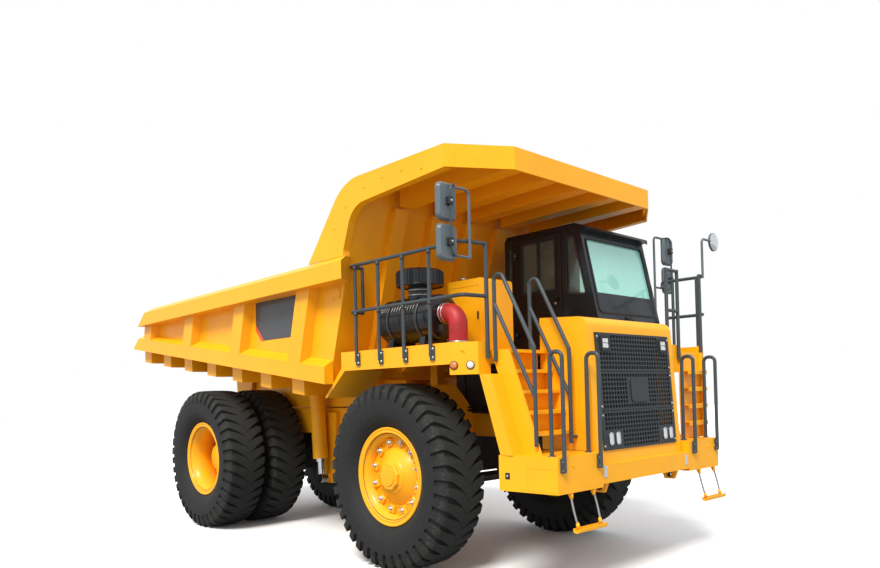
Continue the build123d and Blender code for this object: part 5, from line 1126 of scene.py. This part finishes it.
class HAUL_OT_engine_bay(bpy.types.Operator):
    """Dark side panels of the engine bay, with stiffening ribs, filters, pipes and hoses on them"""

    bl_idname = "haul.engine_bay"
    bl_label = "Engine bay"

    def execute(self, context):
        mesh = Mesh()
        for way in SIDES:
            near, far = way * 0.4320, way * 0.4420
            mesh.block((1.960, near, 1.600), (3.480, far, 2.196), "engine", 0.003)
            mesh.block((2.200, near, 1.010), (3.450, far, 1.340), "engine", 0.003)
            for x in (2.100, 2.440, 3.120, 3.440):
                mesh.block((x - 0.018, far, 1.680), (x + 0.018, way * 0.4620, 2.180), "engine", 0.004)
            canister = [(0.0, 0.0), (0.0, 0.050), (0.012, 0.058), (0.240, 0.058), (0.244, 0.064),
                        (0.262, 0.064), (0.266, 0.040), (0.290, 0.040), (0.290, 0.0)]
            for x in (2.600, 2.760, 2.920):
                mesh.turned(canister, (x, way * 0.5100, 1.760), UP, "enamel", 32)
            mesh.block((2.520, far, 2.050), (3.000, way * 0.5600, 2.084), "engine", 0.006)
            y = way * 0.500
            charge = [(2.020, y, 2.130), (2.240, y, 2.130), (2.300, y, 2.136), (3.460, y, 2.136)]
            mesh.pipe(bent(charge, 0.06), 0.038, "enamel", 20)
            for x in (2.260, 3.180):
                sleeve = [(-0.018, 0.038), (-0.018, 0.043), (0.018, 0.043), (0.018, 0.038)]
                mesh.turned(sleeve, (x, y, 2.134), AHEAD, "clamp", 28)
            for k in range(3):
                y, z = way * (0.470 + 0.012 * k), 1.720 - 0.034 * k
                hose = [(2.040, y, z), (2.500, y, z - 0.050), (3.050, y, z - 0.030), (3.380, y, z)]
                mesh.pipe(bent(hose, 0.20), 0.013, "plastic", 12)
        mesh.build("bay_panels", "chassis", "engine_paint")
        return {"FINISHED"}


class HAUL_OT_mirrors(bpy.types.Operator):
    """Mirror glass, outer bracket tubes and clamp blocks"""

    bl_idname = "haul.mirrors"
    bl_label = "Mirrors"

    def execute(self, context):
        mesh = Mesh()
        for way in SIDES:
            y = way * 1.905
            for low, high in ((3.366, 3.710), (3.010, 3.340)):
                z = (low + high) / 2
                pane = oblong(0.212, high - low - 0.018, 0.052, 6)
                mesh.prism(pane, (3.3705, y, z), (0, -1, 0), UP, 0.0035, "chrome")
                mesh.block((3.400, y - 0.028, z - 0.036), (3.462, y + 0.028, z + 0.036), "plastic", 0.006)
                mesh.nut((3.4618, y, z), AHEAD, "zinc", 0.008, 0.008)
            near, far = 3.3836, 3.4440
            tube = [(near, way * 1.800, 3.690), (far, way * 1.870, 3.700), (far, y, 3.640), (far, y, 3.120),
                    (far, way * 1.870, 3.055), (near, way * 1.790, 3.070)]
            mesh.pipe(bent(tube, 0.050), 0.011, "grey", 12)
        rim = [(-0.004, 0.106), (-0.004, 0.1088), (0.016, 0.1096), (0.021, 0.105), (0.017, 0.101)]
        centre = (3.995, 1.910, 3.560)
        mesh.turned(rim, centre, AHEAD, "plastic", 48)
        dome = [(0.0185, 0.108), (0.0290, 0.090), (0.0375, 0.070), (0.0430, 0.045),
                (0.0462, 0.020), (0.0470, 0.0)]
        mesh.turned(dome, centre, AHEAD, "chrome", 48)
        mesh.build("mirror_fittings", "chassis", "grey_steel")
        return {"FINISHED"}


STEP_SECTION = ((4.248, 0.650), (4.249, 0.632), (4.257, 0.624), (4.282, 0.624), (4.289, 0.632),
                (4.290, 0.650), (4.300, 0.650), (4.300, 0.634), (4.298, 0.616), (4.284, 0.610),
                (4.256, 0.610), (4.242, 0.616), (4.238, 0.634), (4.238, 0.650))


class HAUL_OT_hanging_steps(bpy.types.Operator):
    """Two rope steps: grey twisted ropes with ferrules and a folded yellow bar"""

    bl_idname = "haul.hanging_steps"
    bl_label = "Hanging steps"

    def execute(self, context):
        mesh = Mesh()
        for y in (-1.085, 1.205):
            for way in SIDES:
                foot = np.array((4.259, y + way * 0.165, 0.645))
                head = np.array((4.180, y + way * 0.165, 0.9434))
                line = np.linspace(0, 1, 13)[:, None]
                bow = np.array((0.0, 0.010 * way, 0.0)) * np.sin(np.pi * line)
                mesh.pipe(foot + (head - foot) * line + bow, 0.0095, "rope", 12)
                along = (head - foot) / np.linalg.norm(head - foot)
                low = [(0.0, 0.0), (0.0, 0.017), (0.030, 0.017), (0.052, 0.012), (0.052, 0.0)]
                high = [(0.0, 0.0), (0.0, 0.024), (0.020, 0.022), (0.055, 0.013), (0.055, 0.0)]
                mesh.turned(low, foot, along, "yellow", 16)
                mesh.turned(high, head, -along, "yellow", 16)
            mesh.prism(STEP_SECTION, (0, y + 0.215, 0), AHEAD, UP, 0.430, "yellow")
            for k in range(7):
                spot = y + (k - 3) * 0.055
                mesh.block((4.252, spot - 0.006, 0.623), (4.287, spot + 0.006, 0.630), "yellow", 0.001)
        mesh.build("rope_steps", "chassis", "yellow_paint", "hanging_steps")
        return {"FINISHED"}


BODY_WALL_Y = 1.660
CANOPY_WING_Y = 1.750
FLOOR_SLOPE = np.tan(np.radians(7.35))
HEADBOARD_FOOT = (1.160, 2.040)
RIB_HALF = 0.1675


class HAUL_OT_body(bpy.types.Operator):
    """Blank side panel, bracket plates, canopy bolts, strips and corner plates, and weld beads"""

    bl_idname = "haul.body"
    bl_label = "Tipping body"

    def execute(self, context):
        mesh = Mesh()
        sheet = np.array([(-0.330, 2.555), (0.505, 2.555), (0.505, 3.050), (-0.460, 3.050), (-0.460, 2.690)])
        stripe = np.array([(-0.330, 2.552), (-0.262, 2.552), (-0.462, 2.768), (-0.462, 2.690)])
        mesh.prism(round_corners(sheet, 0.012, 3), (0, -BODY_WALL_Y - 0.0002, 0), AHEAD, UP, 0.003,
                   "decal", 0.001)
        mesh.prism(stripe, (0, -BODY_WALL_Y - 0.0028, 0), AHEAD, UP, 0.0022, "stripe")
        for x, z, wide, tall in ((1.336, 2.975, 0.150, 0.130), (-2.483, 2.932, 0.110, 0.110)):
            for way in SIDES:
                front = AHEAD if way < 0 else (-1, 0, 0)
                mesh.prism(oblong(wide, tall, 0.010), (x, way * BODY_WALL_Y, z), front, UP, 0.010,
                           "yellow", 0.002)
                for dx in (-0.35, 0.35):
                    for dz in (-0.33, 0.33):
                        mesh.nut((x + dx * wide, way * (BODY_WALL_Y + 0.0098), z + dz * tall), (0, way, 0),
                                 "yellow", 0.009, 0.008)
        wing = ((1.997, 4.002), (2.300, 4.038), (2.599, 4.038), (2.895, 3.988), (1.655, 3.861),
                (1.443, 3.661))
        for x, z in wing:
            for way in SIDES:
                mesh.nut((x, way * CANOPY_WING_Y, z), (0, way, 0), "yellow", 0.011, 0.008)
        self.beads(mesh)
        self.closing(mesh)
        mesh.build("body_trim", "dump_body", "body_paint")
        return {"FINISHED"}

    def closing(self, mesh):
        """Strips that close the canopy's side channels above, and plates over its two front corners."""
        width, height = 0.110, 0.2174
        run = np.array((0.5404, 0.8414, 0.0))
        for way in SIDES:
            low, high = sorted((way * 1.6490, way * (CANOPY_WING_Y - 0.0006)))
            mesh.block((1.780, low, 4.1252), (3.2090, high, 4.1402), "yellow", 0.002)
            along = run * (1, -way, 1)
            start = np.array((3.2100, way * CANOPY_WING_Y, 3.9272))
            if way > 0:
                start, along = start + along * width, -along
            plate = [(0.0, 0.0), (width, 0.0), (width, height), (0.0, height)]
            mesh.prism(plate, start, along, UP, 0.004, "yellow", 0.001)

    def beads(self, mesh):
        """Weld beads on both edges of each rib, round the headboard's foot and sides, and by the floor."""
        for k in range(4):
            x = 0.850 - 1.500 * k
            foot_z = 1.975 + (1.170 - x) * FLOOR_SLOPE + 0.270
            foot_x = x - 0.302 * (3.070 - foot_z)
            for way in SIDES:
                y = way * (BODY_WALL_Y + 0.0015)
                for edge in (-RIB_HALF, RIB_HALF):
                    mesh.pipe([(foot_x + edge, y, foot_z), (x + edge, y, 3.062)], 0.0050, "yellow", 6)
        x, z = HEADBOARD_FOOT
        mesh.pipe([(x, -1.6360, z), (x, 1.6360, z)], 0.0120, "yellow", 10)
        for way in SIDES:
            y = way * 1.6340
            mesh.pipe([(x, y, z + 0.0060), (1.5460, y, 3.3200)], 0.0100, "yellow", 8)
            mesh.pipe([(x - 0.0100, y, z), (-4.2700, y, z + 5.420 * FLOOR_SLOPE)], 0.0100, "yellow", 8)


class HAUL_OT_seat(bpy.types.Operator):
    """Operator's seat: two cushions with a crown and pulled-in sides, on a bellows pedestal"""

    bl_idname = "haul.seat"
    bl_label = "Seat"

    def execute(self, context):
        self.pad("seat_cushion", (2.720, CAB_MIDDLE_Y, 2.592), (0.470, 0.0, 0.0), (0.0, 0.460, 0.0), 0.130)
        self.pad("seat_back", (2.418, CAB_MIDDLE_Y, 2.965), (-0.072, 0.0, 0.600), (0.0, 0.440, 0.0), 0.110)
        mesh = Mesh()
        wave = [(0.0, 0.0)]
        for k in range(7):
            wave += [(0.018 * k + 0.002, 0.150), (0.018 * k + 0.011, 0.168)]
        wave += [(0.130, 0.150), (0.130, 0.0)]
        mesh.turned(wave, (2.720, CAB_MIDDLE_Y, 2.330), UP, "plastic", 40)
        for x0, x1, half, z0, z1, bevel in ((2.560, 2.880, 0.150, 2.2805, 2.332, 0.008),
                                            (2.500, 2.940, 0.210, 2.458, 2.524, 0.010),
                                            (2.400, 2.530, 0.050, 2.515, 2.690, 0.008)):
            mesh.block((x0, CAB_MIDDLE_Y - half, z0), (x1, CAB_MIDDLE_Y + half, z1), "plastic", bevel)
        for way in SIDES:
            y = CAB_MIDDLE_Y + way * 0.236
            mesh.block((2.470, y - 0.020, 2.740), (2.760, y + 0.020, 2.775), "plastic", 0.010)
        mesh.build("seat_base", "chassis", "dark_plastic", "operator_seat")
        return {"FINISHED"}

    def pad(self, name, centre, run, wide, thick):
        """A pillow whose thickness goes with the root of (1 - |s|^5)(1 - |t|^5).

        s and t run from -1 to 1 over the pad, and its sides draw in between the corners. A sewn channel
        lowers the face by a narrow bell at s = +-0.33.
        """
        s = np.sin(np.linspace(-np.pi / 2, np.pi / 2, 41))
        s, t = np.meshgrid(s, s, indexing="ij")
        swell = np.sqrt(np.clip((1 - np.abs(s) ** 5) * (1 - np.abs(t) ** 5), 0, 1))
        crease = 0.10 * (np.exp(-((s - 0.33) / 0.035) ** 2) + np.exp(-((s + 0.33) / 0.035) ** 2))
        height = thick / 2 * (swell * (1 - crease * (np.abs(t) < 0.97))
                              + 0.16 * np.clip(1 - s ** 2 - t ** 2, 0, 1))
        run, wide = np.asarray(run), np.asarray(wide)
        normal = np.cross(run, wide)
        normal /= np.linalg.norm(normal)
        across = s * (1 - 0.035 * (1 - t ** 2) * s ** 4)
        along = t * (1 - 0.035 * (1 - s ** 2) * t ** 4)
        flat = np.asarray(centre) + across[..., None] * run / 2 + along[..., None] * wide / 2
        mesh = Mesh()
        for sign in (1, -1):
            mesh.grid(flat + sign * height[..., None] * normal, "cloth", flip=sign < 0)
        edge = np.concatenate([flat[:, 0], flat[-1, 1:], flat[-2::-1, -1], flat[0, -2:0:-1]])
        mesh.pipe(edge, 0.006, "cloth", 8, closed=True)
        mesh.build(name, "chassis", "seat_cloth")


# Finishes of the CAD nodes. The tyres and rims aren't listed, because pieces stand for all of them
FINISH_NODES = {
    "yellow": """frame_rails bumper hood right_deck left_deck right_stairs left_ladder deck_cabinet fuel_tank
                 body_floor body_sides headboard canopy hoist_barrel_right hoist_barrel_left""",
    "driveline": "transmission rear_axle track_rod knuckle_right knuckle_left",
    "strut": "suspension_struts steering_cylinders",
    "chrome": "steering_rods hoist_sleeve_right hoist_sleeve_left hoist_rod_right hoist_rod_left",
    "grey": "deck_railings step_handrails",
    "black": "cab_shell door_right",
    "glass": "cab_glass door_glass",
    "grille": "grille",
    "core": "radiator",
    "engine": "engine_block",
    "zinc": "hanging_steps",
    "cloth": "operator_seat",
    "plastic": "steering_console",
    "enamel": "air_cleaner",
    "hose": "intake_elbow",
    "mirror": "mirrors",
    "lamp": "lamps",
}
NODE_FINISH = {node: name for name, nodes in FINISH_NODES.items() for node in nodes.split()}


class HAUL_OT_finishes(bpy.types.Operator):
    """The materials, and those of the CAD nodes that stay in view"""

    bl_idname = "haul.finishes"
    bl_label = "Finishes"

    def execute(self, context):
        paint = context.scene.haul_paint
        dust, grain = paint.dust, paint.grain
        # Name, colour, gloss, clear coat and wear of each paint
        paints = {
            "yellow": ("yellow_paint", paint.yellow),
            "rim_paint": ("rim_paint", paint.yellow, 0.36, 0.15, 0.7),
            "black": ("black_paint", paint.black, 0.24, 0.3, 0.02),
            "grey": ("grey_paint", paint.grey, 0.38, 0.2, 0.4),
            "mirror": ("mirror_paint", tint(paint.grey, 2.2), 0.38, 0.2, 0.3),
            "grille": ("grille_paint", tint(paint.grey, 0.55), 0.42, 0.1, 0.4),
            "enamel": ("black_enamel", (0.008, 0.008, 0.009), 0.22, 0.5, 0.3),
            "engine": ("engine_paint", (0.03, 0.03, 0.032), 0.5, 0.0, 0.8),
            "driveline": ("driveline_paint", (0.022, 0.021, 0.020), 0.5, 0.0, 1.0),
            "strut": ("strut_paint", (0.02, 0.02, 0.021), 0.4, 0.1, 0.8),
            "decal": ("side_panel", (0.055, 0.060, 0.066), 0.30, 0.3, 0.3),
            "stripe": ("corner_stripe", (0.80, 0.075, 0.012), 0.30, 0.3, 0.3),
        }
        for key, (name, colour, *look) in paints.items():
            MATERIALS[key] = painted(name, colour, dust, grain, *look)
        MATERIALS.update({
            "core": moulded("radiator_core", (0.034, 0.022, 0.013), 0.6),
            "plastic": moulded("dark_plastic", (0.012, 0.012, 0.013)),
            "hose": moulded("red_hose", (0.44, 0.020, 0.022), 0.42),
            "cloth": woven("seat_cloth", (0.03, 0.03, 0.035)),
            "zinc": metal("zinc_bolts", (0.62, 0.62, 0.60), 0.28),
            "chrome": metal("chrome_rod", (0.75, 0.75, 0.76), 0.08, 0.2),
            "clamp": metal("clamp_steel", (0.66, 0.64, 0.60), 0.22),
            "rope": metal("rope_strands", (0.40, 0.40, 0.39), 0.45, 0.8),
            # The third colour of the glass is the windscreen's, pale with a painted reflection of the sky
            "glass": glazed("window_glass", (0.080, 0.130, 0.125), (0.32, 0.68, 0.60), 0.66),
            "lamp": lens_glass("lamp_glass", (0.85, 0.87, 0.88)),
            "amber": lens_glass("amber_lens", (0.85, 0.22, 0.02)),
            "reflector": lens_glass("white_reflector", (0.72, 0.74, 0.75)),
            "rubber_front": rubber("rubber_front", (FRONT_AXLE_X, 0, HUB_Z), dust),
            "rubber_rear": rubber("rubber_rear", (REAR_AXLE_X, 0, HUB_Z), dust),
        })
        for node, made in NODES.items():
            made.data.materials.clear()
            made.data.materials.append(MATERIALS[NODE_FINISH.get(node, "rubber_front")])
        return {"FINISHED"}


class HAUL_OT_stage(bpy.types.Operator):
    """Floor, soft studio light and the camera at the photograph's angle"""

    bl_idname = "haul.stage"
    bl_label = "Stage"

    def execute(self, context):
        scene, settings = context.scene, context.scene.haul_stage
        scene.view_settings.view_transform = "Standard"
        self.floor()
        self.world(scene, settings.sky)
        self.sun(settings.key)
        self.camera(scene, settings)
        return {"FINISHED"}

    def floor(self):
        """A wide pale floor."""
        mesh = bpy.data.meshes.new("floor")
        reach = 60.0
        mesh.from_pydata([(-reach, -reach, 0), (reach, -reach, 0), (reach, reach, 0), (-reach, reach, 0)], [],
                         [(0, 1, 2, 3)])
        shader = Shader("floor")
        seen = shader.node("ShaderNodeLightPath").field("Is Camera Ray")
        pale = shader.blend(shader.noise(0.4, 3.0), (0.92, 0.92, 0.92), (0.95, 0.95, 0.95))
        shader.set(Base_Color=shader.blend(seen, (0.30, 0.30, 0.30), pale), Roughness=0.85)
        mesh.materials.append(shader.material)
        made = bpy.data.objects.new("floor", mesh)
        bpy.context.scene.collection.objects.link(made)

    def world(self, scene, strength):
        """White where the camera sees it, and soft, slightly blue light everywhere else."""
        world = bpy.data.worlds.new("studio")
        scene.world = world
        world.use_nodes = True
        tree = world.node_tree
        tree.nodes.clear()
        output = tree.nodes.new("ShaderNodeOutputWorld")
        light = tree.nodes.new("ShaderNodeBackground")
        seen = tree.nodes.new("ShaderNodeBackground")
        path = tree.nodes.new("ShaderNodeLightPath")
        mix = tree.nodes.new("ShaderNodeMixShader")
        light.inputs[0].default_value = (0.93, 0.96, 1.0, 1)
        light.inputs[1].default_value = strength
        seen.inputs[0].default_value = (1, 1, 1, 1)
        seen.inputs[1].default_value = 1.0
        tree.links.new(path.outputs["Is Camera Ray"], mix.inputs[0])
        tree.links.new(light.outputs[0], mix.inputs[1])
        tree.links.new(seen.outputs[0], mix.inputs[2])
        tree.links.new(mix.outputs[0], output.inputs[0])

    def sun(self, strength):
        """One broad sun, from ahead and above on the truck's right."""
        sun = bpy.data.lights.new("sun", "SUN")
        sun.energy = strength
        sun.angle = 0.35
        sun.color = (1.0, 0.97, 0.92)
        made = bpy.data.objects.new("sun", sun)
        made.rotation_euler = Vector((0.35, -0.72, 0.95)).to_track_quat("Z", "Y").to_euler()
        bpy.context.scene.collection.objects.link(made)

    def camera(self, scene, settings):
        """Camera axes from yaw, pitch and roll, with the shift of the photograph's middle."""
        camera = bpy.data.cameras.new("camera")
        camera.sensor_width = 36.0
        camera.lens = settings.lens
        camera.shift_x = settings.shift_x
        camera.shift_y = settings.shift_y
        camera.clip_end = 200.0
        ahead = Vector((np.cos(settings.yaw) * np.cos(settings.pitch),
                        np.sin(settings.yaw) * np.cos(settings.pitch), np.sin(settings.pitch)))
        right = ahead.cross(Vector(UP)).normalized()
        up = right.cross(ahead)
        c, s = np.cos(settings.roll), np.sin(settings.roll)
        rolled, raised = c * right + s * up, c * up - s * right
        turn = Matrix((rolled, raised, -ahead)).transposed().to_4x4()
        made = bpy.data.objects.new("camera", camera)
        made.matrix_world = Matrix.Translation(settings.eye) @ turn
        bpy.context.scene.collection.objects.link(made)
        scene.camera = made


PIECES = (HAUL_OT_finishes, HAUL_OT_tyres, HAUL_OT_rims, HAUL_OT_grille, HAUL_OT_lamps, HAUL_OT_cab,
          HAUL_OT_seat, HAUL_OT_intake, HAUL_OT_fittings, HAUL_OT_engine_bay, HAUL_OT_mirrors,
          HAUL_OT_hanging_steps, HAUL_OT_body, HAUL_OT_stage)


class HAUL_PT_panel(bpy.types.Panel):
    """Settings and pieces of the truck"""

    bl_label = "Haul truck"
    bl_idname = "HAUL_PT_panel"
    bl_space_type = "VIEW_3D"
    bl_region_type = "UI"
    bl_category = "Haul truck"

    def draw(self, context):
        for group in (context.scene.haul_paint, context.scene.haul_tyre, context.scene.haul_stage):
            box = self.layout.box()
            for key in type(group).__annotations__:
                box.prop(group, key)
        for piece in PIECES:
            self.layout.operator(piece.bl_idname)


GROUPS = (("haul_paint", HAUL_PG_paint), ("haul_tyre", HAUL_PG_tyre), ("haul_stage", HAUL_PG_stage))


def register():
    """Register the classes and hang the settings on the scene."""
    for name, group in GROUPS:
        bpy.utils.register_class(group)
        setattr(bpy.types.Scene, name, PointerProperty(type=group))
    for piece in (*PIECES, HAUL_PT_panel):
        bpy.utils.register_class(piece)


def unregister():
    """Undo register."""
    for piece in (HAUL_PT_panel, *reversed(PIECES)):
        bpy.utils.unregister_class(piece)
    for name, group in reversed(GROUPS):
        delattr(bpy.types.Scene, name)
        bpy.utils.unregister_class(group)


def main():
    """Register the add-on and build every piece."""
    register()
    for piece in PIECES:
        family, name = piece.bl_idname.split(".")
        getattr(getattr(bpy.ops, family), name)()


if __name__ == "__main__":
    main()
